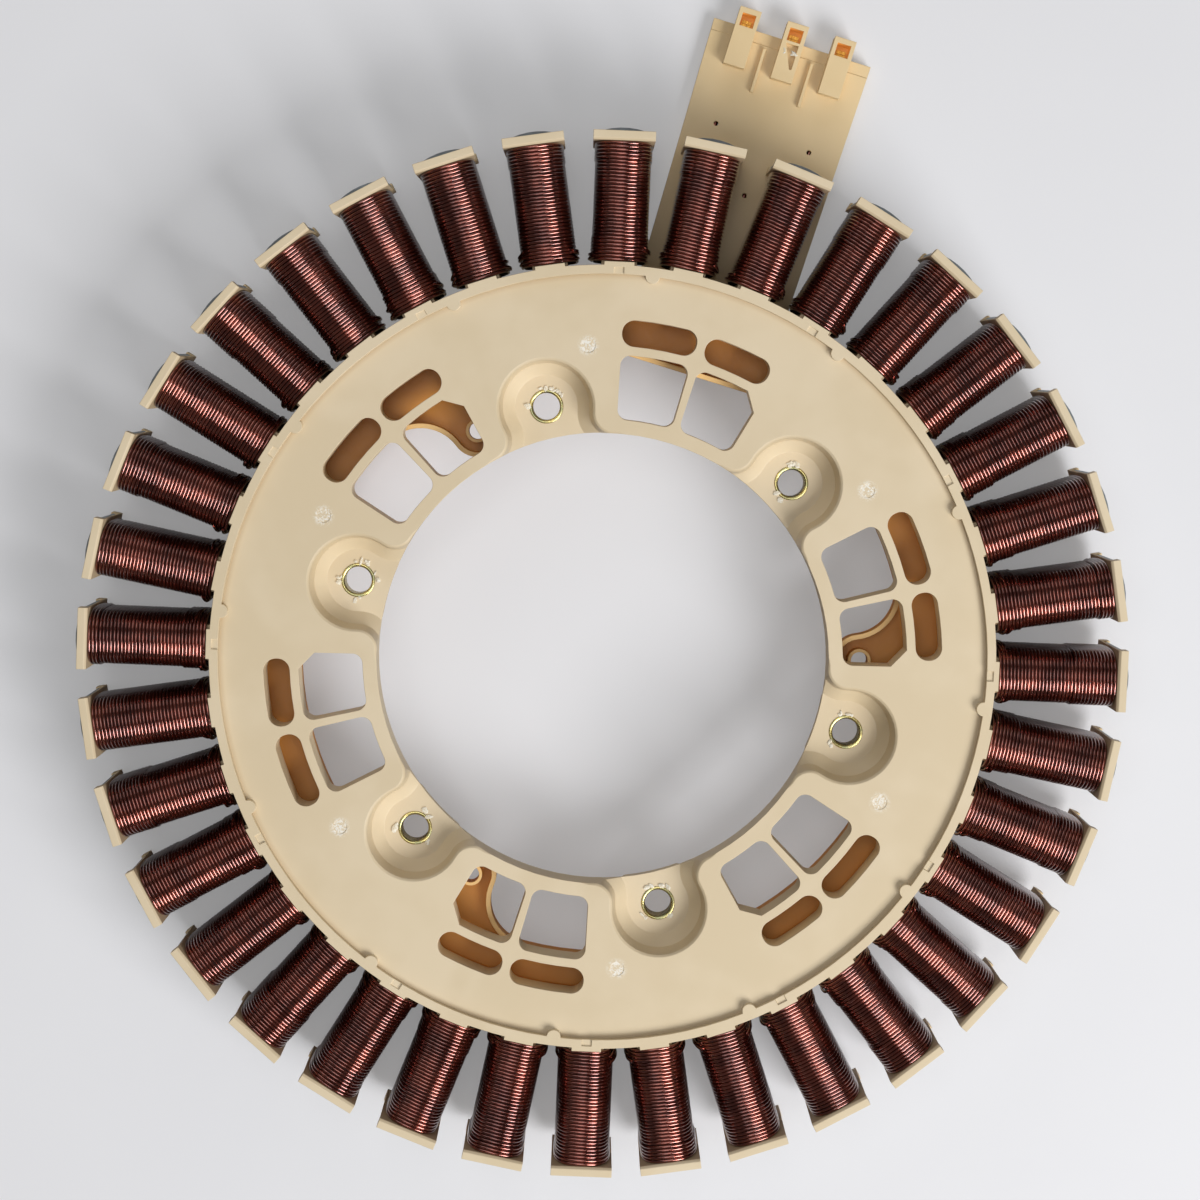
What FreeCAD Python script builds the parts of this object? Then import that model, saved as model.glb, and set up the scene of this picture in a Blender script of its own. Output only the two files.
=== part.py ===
import FreeCAD, Part
import math
import os
import Sketcher
from FreeCAD import Placement, Rotation, Vector

# Motor stator: a laminated core with 36 teeth, each with its own coil, held between two insulating
# mouldings. The axis is Z. The origin is on the mounting plane, at the middle of the bolt circle and
# of the core's height. The winding connector points along +Y.

document = FreeCAD.newDocument("Stator")

# The radial sizes build outwards from the bolt circle, as widths of what lies between two edges.
drivingSizes = (
    ("toothCount", 36, "teeth and coils"),
    ("boltCount", 6, "mounting bosses"),
    ("boltCircle", 128, "diameter through the mounting holes"),
    ("stackHeight", 24, "height of the laminated core"),
    ("yokeWidth", 10, "radial width of the core's yoke"),
    ("toothHalfWidth", 3.5, "half the width of a tooth"),
    ("toothLength", 32.3, "from the slot bottom to the pole shoe"),
    ("shoeHeight", 2.7, "from the inner side of a pole shoe to the middle of its face"),
    ("shoeHalfWidth", 7.3, "half the width of a pole shoe"),
    ("poleCrown", 18, "radius of each pole face"),
    ("seatGap", 0.1, "clearance of the mouldings and coils on what carries them"),
    ("toothGap", 0.05, "clearance beside a tooth in its insulation"),
    ("splitGap", 0.4, "gap between the two mouldings"),
    ("linerWall", 1.2, "insulation on the slot bottoms and inside the yoke"),
    ("capWall", 1.4, "insulation over the teeth"),
    ("capSide", 0.9, "insulation at the sides of the teeth, with its clearance"),
    ("cheekWall", 0.6, "insulation behind the pole shoes"),
    ("coilSpace", 3, "space between two coils at the slot bottom"),
    ("coilRise", 2.5, "depth of the wound layers over a tooth"),
    ("coilCorner", 2.4, "cut outer corners of the coils"),
    ("flangeLedge", 1.7, "how far a tip flange reaches over its pole shoe"),
    ("flangeSide", 0.35, "tip flange beyond the pole shoe at each side"),
    ("flangeRise", 0.4, "tip flange above the coil"),
    ("flangeBevel", 0.6, "bevel on the flange's winding edge"),
    ("blockHalfWidth", 3.7, "half the width of the blocks on the rim"),
    ("blockDepth", 0.8, "how far the blocks stand out from the rim"),
    ("webThickness", 3, "plate of the web"),
    ("openingInset", 8, "from the bolt circle in to the large opening"),
    ("openingRib", 3.5, "from the large opening to the windows"),
    ("windowDepth", 15.9, "radial size of the windows"),
    ("slotRib", 2.2, "rib between the windows and the slots"),
    ("slotDepth", 6.5, "radial size of the slots"),
    ("slotLedge", 0.6, "from the slots to the inner skirt"),
    ("groupRib", 0.8, "half the angle of the rib in the middle of a window group"),
    ("bossSector", 16, "half the angle without windows at each boss"),
    ("slotShort", 1.2, "angle by which one slot of a group is shorter"),
    ("windowCorner", 2.6, "corner radius of the windows"),
    ("windowBevel", 4, "cut corner of one window in each group"),
    ("slotFlat", 0.15, "flat left in the middle of a slot's rounded end"),
    ("ribWall", 1.9, "thickness of the ribs round the windows"),
    ("ribBottom", 5.4, "underside of those ribs"),
    ("rimWidth", 2.2, "width of the raised rim"),
    ("rimRise", 2, "rim above the web"),
    ("bumpCount", 12, "half-round bumps inside the rim, and notches in it"),
    ("bumpRadius", 1.75, "radius of those bumps"),
    ("notchWidth", 2.5, "width of the notches"),
    ("notchDepth", 0.5, "depth of the notches"),
    ("markRadius", 1.75, "ejector marks on the web"),
    ("markTurn", 10, "angle from each boss to its ejector mark"),
    ("markDepth", 0.2, "depth of the ejector marks"),
    ("dishRadius", 11.7, "recess round a mounting hole, at the web"),
    ("dishFloor", 6, "floor of that recess above the mounting plane"),
    ("dishDraft", 8, "draft of its wall, degrees"),
    ("dishFlare", 5, "radius where the recess runs into the opening"),
    ("dishBevel", 2.6, "bevel round the floor of the recess"),
    ("dishEdge", 0.5, "bevel of the recess's upper edge"),
    ("bossWall", 1.1, "wall of a boss at the underside of the web"),
    ("bossDraft", 12.5, "draft of the boss, degrees"),
    ("bossPlate", 3, "thickness of the floor under the recess"),
    ("hubWall", 3.5, "wall of the hub round the sleeve"),
    ("sleeveBore", 3.35, "bore radius of the steel sleeves"),
    ("sleeveWall", 0.6, "wall of the steel sleeves"),
    ("sleeveLip", 0.25, "sleeves above the floor of the recess"),
    ("sleeveGap", 0.03, "clearance of a sleeve in its boss"),
    ("trayGap", 0.3, "clearance between the bosses and the tray"),
    ("trayWall", 1.2, "walls and floor of the tray"),
    ("chordDepth", 2.1, "how far the tray's straight side stands in"),
    ("lugSpacing", 2, "bosses from one lug of the tray to the next"),
    ("lugReach", 11.2, "from the tray's inner side in to a lug's hole"),
    ("lugRadius", 6.5, "nose radius of a lug"),
    ("lugGap", 0.45, "clearance between a lug and a boss"),
    ("lugFillet", 11, "wide fillet beside a lug"),
    ("lugSmallFillet", 2, "narrow fillet beside a lug"),
    ("lugHole", 2.1, "radius of the hole in a lug"),
    ("collarWall", 0.8, "collar round that hole"),
    ("plateGap", 0.6, "connector plate below the lower tip flanges"),
    ("plateThickness", 4, "height of the connector plate"),
    ("plateSkin", 1.6, "skin of the connector plate"),
    ("plateLength", 64.7, "connector plate beyond the rim"),
    ("plateEdge", 3.1, "from the outer lead channels to the plate's edge, at its end"),
    ("plateTaper", 1.3, "how much narrower each side is at the ring"),
    ("stripWidth", 3, "lowered strip along the plate's end"),
    ("stripDrop", 0.3, "how far that strip is lowered"),
    ("laneWall", 2.2, "wall between the lead channels"),
    ("socketPitch", 12.6, "distance between the sockets"),
    ("socketHalfWidth", 2.8, "half the width of a socket housing"),
    ("socketLength", 14.9, "length of the socket housings"),
    ("socketOverhang", 4.4, "how far they stand out beyond the plate"),
    ("socketHeight", 4, "sockets above the plate"),
    ("socketWall", 1.05, "side walls of the sockets"),
    ("socketEndWall", 1.4, "outer wall of the sockets"),
    ("socketFloor", 1.2, "floor of the sockets"),
    ("socketOpening", 3.3, "opening of the sockets along the plate"),
    ("tearInset", 0.7, "from the opening of the middle socket to its torn place"),
    ("tearLength", 6.2, "length of the torn place"),
    ("tearHalfWidth", 1.6, "half its width at the wide end"),
    ("tearDepth", 2, "its depth"),
    ("guideInset", 3.8, "from the plate's end to its two guide ribs"),
    ("guideLength", 11.4, "length of the guide ribs"),
    ("guideWidth", 0.8, "thickness of the guide ribs"),
    ("guideRise", 1.6, "guide ribs above the plate"),
    ("pinHole", 0.6, "radius of the three small holes in the plate"),
    ("pinSpread", 12.4, "two of them beside the plate's middle line"),
    ("pinReach", 25.3, "those two from the plate's end"),
    ("pinMiddleReach", 40.6, "the third from the plate's end"),
    ("leadHalf", 0.7, "half the thickness of the sleeved leads"),
    ("leadSpan", 32, "teeth that each lead passes on its way round the yoke"),
    ("leadGap", 0.05, "clearance between a lead and what is above it"),
    ("tabGap", 0.55, "clearance beside a terminal in its socket"),
    ("tabThickness", 0.8, "thickness of a terminal"),
    ("tabRecess", 5.4, "top of a terminal below the socket's top"),
    ("tabFoot", 5, "length of a terminal's foot"),
)

# Sizes that follow from the driving ones. Levels are heights above the mounting plane.
derivedSizes = {
    "underside": "stackHeight / 2",
    "webTop": "underside + webThickness",
    "rimTop": "webTop + rimRise",
    "holeRadius": "boltCircle / 2 - openingInset",
    "windowInside": "holeRadius + openingRib",
    "windowOutside": "windowInside + windowDepth",
    "slotInside": "windowOutside + slotRib",
    "slotOutside": "slotInside + slotDepth",
    "skirtInside": "slotOutside + slotLedge",
    "skirtOutside": "skirtInside + linerWall",
    "yokeInside": "skirtOutside + seatGap",
    "yokeOutside": "yokeInside + yokeWidth",
    "linerInside": "yokeOutside + seatGap",
    "rimRadius": "linerInside + linerWall",
    "rimInside": "rimRadius - rimWidth",
    "coilStart": "rimRadius + blockDepth + seatGap",
    "shoeRadius": "yokeOutside + toothLength",
    "poleRadius": "shoeRadius + shoeHeight",
    "cheekOutside": "shoeRadius - seatGap",
    "cheekInside": "cheekOutside - cheekWall",
    "coilEnd": "cheekInside - seatGap",
    "groupAngle": "180 / boltCount",
    "windowAngle": "groupAngle - bossSector",
    "toothPitch": "360 / toothCount",
    "capTop": "underside + capWall",
    "capHalfWidth": "toothHalfWidth + capSide",
    "coilInsideTop": "capTop + seatGap",
    "coilInsideHalf": "capHalfWidth + seatGap",
    "coilTop": "coilInsideTop + coilRise",
    "coilHalfWidth": "coilStart * tan(toothPitch / 2) - coilSpace / 2",
    "flangeTop": "coilTop + flangeRise",
    "bossRadius": "dishRadius + bossWall",
    "bossFoot": "bossRadius - (underside - dishFloor + bossPlate) * tan(bossDraft)",
    "bossAtTray": "bossRadius - (underside - ribBottom) * tan(bossDraft)",
    "sleeveRadius": "sleeveBore + sleeveWall",
    "trayInside": "boltCircle / 2 + bossAtTray + trayGap",
    "chordDistance": "trayInside - chordDepth",
    "lugCircle": "trayInside - lugReach",
    "lugDistance": "bossAtTray + lugRadius + lugGap",
    "lugCosine": "((boltCircle / 2) ^ 2 + lugCircle ^ 2 - lugDistance ^ 2) / (boltCircle * lugCircle)",
    "lugAngle": "acos(lugCosine) / 1 deg",
    "plateTop": "0 - flangeTop - plateGap",
    "baseLevel": "plateTop - plateThickness",
    "laneTop": "plateTop - plateSkin",
    "laneHalfWidth": "(socketPitch - laneWall) / 2",
    "plateHalfWidth": "socketPitch + laneHalfWidth + plateEdge",
    "plateRootHalfWidth": "plateHalfWidth - plateTaper",
    "plateEnd": "rimRadius + plateLength",
    "socketEnd": "plateEnd + socketOverhang",
    "socketStart": "socketEnd - socketLength",
    "socketTop": "plateTop + socketHeight",
    "openingEnd": "socketEnd - socketEndWall",
    "openingStart": "openingEnd - socketOpening",
    "openingFloor": "baseLevel + socketFloor",
    "tabStart": "(openingStart + openingEnd + tabThickness) / 2 - tabFoot",
    "leadPitch": "(rimInside - skirtOutside) / 4",
    "leadLevel": "0 - capTop - leadGap - leadHalf",
    "laneLevel": "laneTop - leadGap - leadHalf",
}

sizes = document.addObject("Spreadsheet::Sheet", "Sizes")
for row, (alias, value, meaning) in enumerate(drivingSizes, start=1):
    sizes.set("A%d" % row, meaning)
    sizes.set("B%d" % row, str(value))
    sizes.setAlias("B%d" % row, alias)
document.recompute()
aliases = {alias for alias, value, meaning in drivingSizes}


def full(expression):
    """Write an expression out until it holds nothing but numbers and cells of the sheet."""
    words = []
    word = ""
    for letter in expression + " ":
        if letter.isalpha():
            word += letter
            continue
        if word in derivedSizes:
            word = "(" + full(derivedSizes[word]) + ")"
        elif word in aliases:
            word = "Sizes." + word
        words.append(word + letter)
        word = ""
    return "".join(words).strip()


def size(expression):
    return float(sizes.evalExpression(full(expression)))


def newBody(label, turn="0", along="0", aside="0"):
    """A body, moved along X and Y and then turned about the axis of the stator."""
    body = document.addObject("PartDesign::Body", label)
    body.Label = label
    rotation = Rotation(Vector(0, 0, 1), size(turn))
    body.Placement = Placement(rotation.multVec(Vector(size(along), size(aside), 0)), rotation)
    return body


def originFeature(body, role):
    return [item for item in body.Origin.OriginFeatures if item.Role == role][0]


def newSketch(body, name, plane, level="0", turn="0"):
    """A sketch on an origin plane, lifted off it by level and turned about the axis."""
    sketch = body.newObject("Sketcher::SketchObject", name)
    sketch.AttachmentSupport = [(originFeature(body, plane), "")]
    sketch.MapMode = "FlatFace"
    axis = Vector(0, 0, 1) if plane == "XY_Plane" else Vector(0, 1, 0)
    sketch.AttachmentOffset = Placement(Vector(0, 0, size(level)), Rotation(axis, size(turn)))
    if level != "0":
        sketch.setExpression("AttachmentOffset.Base.z", full(level))
    if turn != "0":
        sketch.setExpression("AttachmentOffset.Rotation.Angle", full(turn))
    return sketch


def hold(sketch, kind, where, expression):
    """A dimension of a sketch that follows the sheet."""
    index = sketch.addConstraint(Sketcher.Constraint(kind, *where, size(expression)))
    sketch.setExpression("Constraints[%d]" % index, full(expression))


def holdPoint(sketch, edge, end, corner):
    """Place one end of an edge by its distances from the sketch's origin."""
    for kind, axis, expression in (("DistanceX", -2, corner[0]), ("DistanceY", -1, corner[1])):
        if expression == "0":
            sketch.addConstraint(Sketcher.Constraint("PointOnObject", edge, end, axis))
        else:
            hold(sketch, kind, (-1, 1, edge, end), expression)


def drawPolygon(sketch, corners):
    """A closed outline of straight lines through corners given as pairs of expressions."""
    points = [Vector(size(x), size(y), 0) for x, y in corners]
    first = sketch.GeometryCount
    count = len(points)
    for index in range(count):
        sketch.addGeometry(Part.LineSegment(points[index], points[(index + 1) % count]), False)
    for index in range(count):
        following = first + (index + 1) % count
        sketch.addConstraint(Sketcher.Constraint("Coincident", first + index, 2, following, 1))
    for index, corner in enumerate(corners):
        holdPoint(sketch, first + index, 1, corner)


def drawBox(sketch, left, right, bottom, top):
    drawPolygon(sketch, ((left, bottom), (right, bottom), (right, top), (left, top)))


def drawCircle(sketch, centre, radius):
    middle = Vector(size(centre[0]), size(centre[1]), 0)
    edge = sketch.addGeometry(Part.Circle(middle, Vector(0, 0, 1), size(radius)), False)
    if centre == ("0", "0"):
        sketch.addConstraint(Sketcher.Constraint("Coincident", edge, 3, -1, 1))
    else:
        holdPoint(sketch, edge, 3, centre)
    hold(sketch, "Radius", (edge,), radius)


def addArc(sketch, centre, radius, start, end):
    circle = Part.Circle(centre, Vector(0, 0, 1), radius)
    return sketch.addGeometry(Part.ArcOfCircle(circle, start, end), False)


def holdAngle(sketch, line, angle):
    index = sketch.addConstraint(Sketcher.Constraint("Angle", line, math.radians(size(angle))))
    sketch.setExpression("Constraints[%d]" % index, "(%s) * 1 deg" % full(angle))


def drawWindow(sketch, inner, outer, low, high, corner, bevel=None):
    """A piece of a ring with rounded corners, and perhaps one cut corner, between angles in degrees."""
    rounding = size(corner)
    quarter = math.pi / 2
    sides = []
    rings = {}
    for angle in (low, high):
        turn = math.radians(size(angle))
        reach = [math.sqrt((size(inner) + rounding) ** 2 - rounding ** 2),
                 math.sqrt((size(outer) - rounding) ** 2 - rounding ** 2)]
        ends = [Vector(math.cos(turn), math.sin(turn), 0) * distance for distance in reach]
        side = sketch.addGeometry(Part.LineSegment(*ends), False)
        sketch.addConstraint(Sketcher.Constraint("PointOnObject", -1, 1, side))
        sides.append(side)
    for ring, inward in ((inner, 1), (outer, -1)):
        distance = size(ring) + inward * rounding
        lean = math.asin(rounding / distance)
        start = math.radians(size(low)) + lean
        end = math.radians(size(high)) - lean
        arc = addArc(sketch, Vector(0, 0, 0), size(ring), start, end)
        sketch.addConstraint(Sketcher.Constraint("Coincident", arc, 3, -1, 1))
        hold(sketch, "Radius", (arc,), ring)
        rings[ring] = arc
        sideEnd = 1 if inward == 1 else 2
        if ring == outer and bevel:
            cut = math.radians(size(low)) + size(bevel) / size(outer)
            corners = [Vector(math.cos(turn), math.sin(turn), 0) * reach for turn, reach in (
                (math.radians(size(low)), size(outer) - size(bevel)), (cut, size(outer)))]
            line = sketch.addGeometry(Part.LineSegment(*corners), False)
            sketch.addConstraint(Sketcher.Constraint("Coincident", line, 1, sides[0], 2))
            sketch.addConstraint(Sketcher.Constraint("Coincident", line, 2, arc, 1))
            hold(sketch, "Distance", (-1, 1, line, 1), "%s - %s" % (outer, bevel))
            hold(sketch, "Distance", (line,), "%s * sqrt(2)" % bevel)
        else:
            centre = Vector(math.cos(start), math.sin(start), 0) * distance
            turns = (start + 2 * quarter, start - lean + 3 * quarter) if inward == 1 else (
                start - lean - quarter, start)
            lowCorner = addArc(sketch, centre, rounding, *turns)
            ringEnd, lineEnd = (1, 2) if inward == 1 else (2, 1)
            sketch.addConstraint(Sketcher.Constraint("Tangent", lowCorner, ringEnd, arc, 1))
            sketch.addConstraint(Sketcher.Constraint("Tangent", lowCorner, lineEnd, sides[0], sideEnd))
            hold(sketch, "Radius", (lowCorner,), corner)
        centre = Vector(math.cos(end), math.sin(end), 0) * distance
        turns = (end + lean + quarter, end + 2 * quarter) if inward == 1 else (end, end + lean + quarter)
        highCorner = addArc(sketch, centre, rounding, *turns)
        ringEnd, lineEnd = (2, 1) if inward == 1 else (1, 2)
        sketch.addConstraint(Sketcher.Constraint("Tangent", highCorner, ringEnd, arc, 2))
        sketch.addConstraint(Sketcher.Constraint("Tangent", highCorner, lineEnd, sides[1], sideEnd))
        hold(sketch, "Radius", (highCorner,), corner)
    for side, angle in zip(sides, (low, high)):
        holdAngle(sketch, side, angle)


def addFeature(body, kind, name, sketch, **settings):
    """A sketched feature with its sizes tied to the sheet."""
    feature = body.newObject("PartDesign::" + kind, name)
    feature.Profile = sketch
    for setting, value in settings.items():
        if setting in ("Length", "Angle", "TaperAngle"):
            setattr(feature, setting, size(value))
            feature.setExpression(setting, full(value))
        else:
            setattr(feature, setting, value)
    body.Tip = feature
    return feature


def revolve(body, name, sketch, axis, **settings):
    feature = addFeature(body, "Revolution", name, sketch, **settings)
    feature.ReferenceAxis = (sketch, [axis])
    return feature


def cutThrough(body, name, sketch):
    return addFeature(body, "Pocket", name, sketch, Type="ThroughAll", SideType="Symmetric")


def repeatAround(body, name, originals, count, spacing=None):
    """Copies of features round the axis, evenly spread or at a spacing in degrees."""
    pattern = body.newObject("PartDesign::PolarPattern", name)
    pattern.Originals = originals
    pattern.Axis = (originFeature(body, "Z_Axis"), [""])
    pattern.Occurrences = round(size(count))
    pattern.setExpression("Occurrences", full(count))
    if spacing:
        pattern.Mode = "Spacing"
        pattern.Offset = size(spacing)
        pattern.setExpression("Offset", full(spacing))
    else:
        pattern.Angle = 360
    body.Tip = pattern
    document.recompute()
    return pattern


def dress(body, kind, name, wanted, amount):
    """A fillet or chamfer on the edges of the body so far for which a test holds."""
    base = body.Tip
    names = ["Edge%d" % number for number, edge in enumerate(base.Shape.Edges, start=1) if wanted(edge)]
    if not names:
        raise ValueError("no edge found for " + name)
    feature = body.newObject("PartDesign::" + kind, name)
    feature.Base = (base, names)
    setting = "Radius" if kind == "Fillet" else "Size"
    setattr(feature, setting, size(amount))
    feature.setExpression(setting, full(amount))
    body.Tip = feature
    document.recompute()
    return feature


def near(value, target, margin=0.02):
    return abs(value - target) < margin


def atLevel(edge, level):
    return near(edge.BoundBox.ZMin, level) and near(edge.BoundBox.ZMax, level)


def isUpright(edge):
    box = edge.BoundBox
    return near(box.XLength, 0) and near(box.YLength, 0)


def middleOf(edge):
    """Distance of an edge's middle from the axis, and its angle in degrees."""
    point = edge.CenterOfMass
    return math.hypot(point.x, point.y), math.degrees(math.atan2(point.y, point.x))


def fromNearest(angle, first, step):
    """Signed angle from the nearest of a row of directions."""
    return (angle - first + step / 2) % step - step / 2


def makeDishes(body):
    """The recess round each mounting hole: a round bowl that flares out into the central opening."""
    middle = size("boltCircle / 2")
    flare = size("dishFlare")
    turn = 1.3 * flare
    ring = size("holeRadius") + flare
    across = (ring ** 2 + middle ** 2 - (size("dishRadius") + flare) ** 2) / (2 * middle)
    aside = math.sqrt(ring ** 2 - across ** 2)
    leaving = math.atan2(aside, across - middle)
    facing = math.atan2(aside, across)
    inner = Vector(math.cos(facing), math.sin(facing), 0) * (ring - flare - turn)
    back = inner.x - turn

    outline = newSketch(body, "DishOutline", "XY_Plane", level="webTop")
    bowl = addArc(outline, Vector(middle, 0, 0), size("dishRadius"), -leaving, leaving)
    flares = [addArc(outline, Vector(across, aside, 0), flare, facing - math.pi, leaving - math.pi),
              addArc(outline, Vector(across, -aside, 0), flare, math.pi - leaving, math.pi - facing)]
    turns = [addArc(outline, inner, turn, facing, math.pi),
             addArc(outline, Vector(inner.x, -inner.y, 0), turn, math.pi, 2 * math.pi - facing)]
    side = outline.addGeometry(Part.LineSegment(
        Vector(back, inner.y, 0), Vector(back, -inner.y, 0)), False)
    for joint in ((bowl, 2, flares[0], 2), (flares[0], 1, turns[0], 1), (turns[0], 2, side, 1),
                  (side, 2, turns[1], 1), (turns[1], 2, flares[1], 2), (flares[1], 1, bowl, 1)):
        outline.addConstraint(Sketcher.Constraint("Tangent", *joint))
    holdPoint(outline, bowl, 3, ("boltCircle / 2", "0"))
    hold(outline, "Radius", (bowl,), "dishRadius")
    for edge in flares:
        hold(outline, "Radius", (edge,), "dishFlare")
        hold(outline, "Distance", (-1, 1, edge, 3), "holeRadius + dishFlare")
    cut = addFeature(body, "Pocket", "Dish", outline, Length="webTop - dishFloor",
                     TaperAngle="0 - dishDraft")
    repeatAround(body, "Dishes", [cut], "boltCount")

    def isDishEdge(edge, level):
        radius, angle = middleOf(edge)
        bowlSide = size("boltCircle / 2 + bossRadius")
        return atLevel(edge, level) and back - 1 < radius < bowlSide

    dress(body, "Chamfer", "DishFloorBevel", lambda edge: isDishEdge(edge, size("dishFloor")), "dishBevel")
    dress(body, "Chamfer", "DishEdgeBevel", lambda edge: isDishEdge(edge, size("webTop")), "dishEdge")


def makeWindows(body):
    """Six groups of two windows and two slots, with rounded corners and one cut corner in each group."""
    outlines = newSketch(body, "WindowOutlines", "XY_Plane", turn="groupAngle")
    slotEnd = "slotDepth / 2 - slotFlat"
    drawWindow(outlines, "windowInside", "windowOutside", "groupRib", "windowAngle", "windowCorner")
    drawWindow(outlines, "windowInside", "windowOutside", "0 - windowAngle", "0 - groupRib",
               "windowCorner", "windowBevel")
    drawWindow(outlines, "slotInside", "slotOutside", "groupRib", "windowAngle", slotEnd)
    drawWindow(outlines, "slotInside", "slotOutside", "slotShort - windowAngle", "0 - groupRib", slotEnd)
    windows = cutThrough(body, "Windows", outlines)
    repeatAround(body, "WindowGroups", [windows], "boltCount")


def makeToothInsulation(body, side, others=()):
    """One half of the insulation of every tooth: cap, tip flange and the passage for the steel."""
    turn = "toothPitch / 2"
    sign = "%s * " % side
    split = sign + "splitGap / 2"
    cap = newSketch(body, "CapSection", "XZ_Plane", turn=turn)
    drawBox(cap, "linerInside", "cheekOutside", split, sign + "capTop")
    capPad = addFeature(body, "Pad", "Cap", cap, Length="2 * capHalfWidth", SideType="Symmetric")

    flange = newSketch(body, "FlangeSection", "XZ_Plane", turn=turn)
    drawPolygon(flange, (
        ("cheekInside", split), ("cheekOutside", split), ("cheekOutside", sign + "underside"),
        ("shoeRadius + flangeLedge", sign + "underside"), ("shoeRadius + flangeLedge", sign + "flangeTop"),
        ("cheekInside + flangeBevel", sign + "flangeTop"),
        ("cheekInside", sign + "(flangeTop - flangeBevel)")))
    flangePad = addFeature(body, "Pad", "TipFlange", flange, SideType="Symmetric",
                           Length="2 * (shoeHalfWidth + flangeSide)")

    passage = newSketch(body, "PassageSection", "XZ_Plane", turn=turn)
    drawBox(passage, "yokeOutside", "shoeRadius", "0", sign + "underside")
    passageCut = addFeature(body, "Pocket", "ToothPassage", passage, SideType="Symmetric",
                            Length="2 * (toothHalfWidth + toothGap)")
    repeatAround(body, "ToothInsulation", [capPad, flangePad, *others, passageCut], "toothCount")


def makeUpperInsulator():
    """The upper moulding: web, rim, skirt, bosses and the upper half of every tooth's insulation."""
    body = newBody("upper_insulator")
    stock = "holeRadius - 3.4 * dishFlare"
    lip = "windowInside"
    section = newSketch(body, "WebSection", "XZ_Plane")
    drawPolygon(section, (
        (stock, "ribBottom"), (lip, "ribBottom"), (lip, "underside"),
        ("skirtInside", "underside"), ("skirtInside", "ribBottom"),
        ("skirtOutside", "ribBottom"), ("skirtOutside", "underside"),
        ("linerInside", "underside"), ("linerInside", "splitGap / 2"),
        ("rimRadius", "splitGap / 2"), ("rimRadius", "rimTop"),
        ("rimInside", "rimTop"), ("rimInside", "webTop"), (stock, "webTop")))
    revolve(body, "Web", section, "V_Axis", Angle="360")

    # ribs round each group of windows, as deep as the inner lip of the web
    ribSection = newSketch(body, "WindowRibSection", "XZ_Plane", turn="groupAngle")
    drawBox(ribSection, "windowInside - ribWall", "skirtInside + linerWall / 2", "ribBottom", "underside")
    ribs = revolve(body, "WindowRibs", ribSection, "V_Axis", Midplane=True,
                   Angle="2 * windowAngle + 2 * asin(ribWall / windowOutside) / 1 deg")

    # a boss stands under each recess, with a hub down to the mounting plane
    middle = "boltCircle / 2"
    hub = middle + " + sleeveRadius + hubWall"
    bossSection = newSketch(body, "BossSection", "XZ_Plane")
    drawPolygon(bossSection, (
        (middle, "0"), (hub, "0"), (hub, "dishFloor - bossPlate"),
        (middle + " + bossFoot", "dishFloor - bossPlate"), (middle + " + bossRadius", "underside"),
        (middle, "underside")))
    axis = bossSection.addGeometry(Part.LineSegment(
        Vector(size(middle), 0, 0), Vector(size(middle), size("underside"), 0)), True)
    holdPoint(bossSection, axis, 1, (middle, "0"))
    holdPoint(bossSection, axis, 2, (middle, "underside"))
    boss = revolve(body, "Boss", bossSection, "Axis0", Angle="360")
    repeatAround(body, "BossesAndRibs", [ribs, boss], "boltCount")
    makeDishes(body)

    opening = newSketch(body, "OpeningOutline", "XY_Plane")
    drawCircle(opening, ("0", "0"), "holeRadius")
    cutThrough(body, "CentralOpening", opening)
    holes = newSketch(body, "SleeveHoleOutline", "XY_Plane")
    drawCircle(holes, (middle, "0"), "sleeveRadius + sleeveGap")
    hole = cutThrough(body, "SleeveHole", holes)
    marks = newSketch(body, "EjectorMarkOutline", "XY_Plane", level="webTop", turn="0 - markTurn")
    drawCircle(marks, ("windowOutside + slotRib", "0"), "markRadius")
    mark = addFeature(body, "Pocket", "EjectorMark", marks, Length="markDepth")
    repeatAround(body, "HolesAndMarks", [hole, mark], "boltCount")
    makeWindows(body)

    # half-round bumps inside the rim, and shallow notches in it
    bumpOutline = newSketch(body, "BumpOutline", "XY_Plane", level="webTop", turn="toothPitch")
    drawCircle(bumpOutline, ("rimInside", "0"), "bumpRadius")
    bump = addFeature(body, "Pad", "RimBump", bumpOutline, Length="rimRise")
    notchSection = newSketch(body, "NotchSection", "XZ_Plane", turn="toothPitch * 3 / 2")
    drawBox(notchSection, "rimInside - rimWidth / 2", "rimRadius + rimWidth / 2",
            "rimTop - notchDepth", "rimTop + notchDepth")
    notch = addFeature(body, "Pocket", "RimNotch", notchSection, Length="notchWidth", SideType="Symmetric")
    repeatAround(body, "BumpsAndNotches", [bump, notch], "bumpCount")

    blockOutline = newSketch(body, "RimBlockOutline", "XY_Plane", level="underside", turn="toothPitch / 2")
    drawBox(blockOutline, "rimRadius - rimWidth / 4", "rimRadius + blockDepth",
            "0 - blockHalfWidth", "blockHalfWidth")
    block = addFeature(body, "Pad", "RimBlock", blockOutline, Length="rimTop - underside")
    makeToothInsulation(body, 1, [block])
    return body


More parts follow.
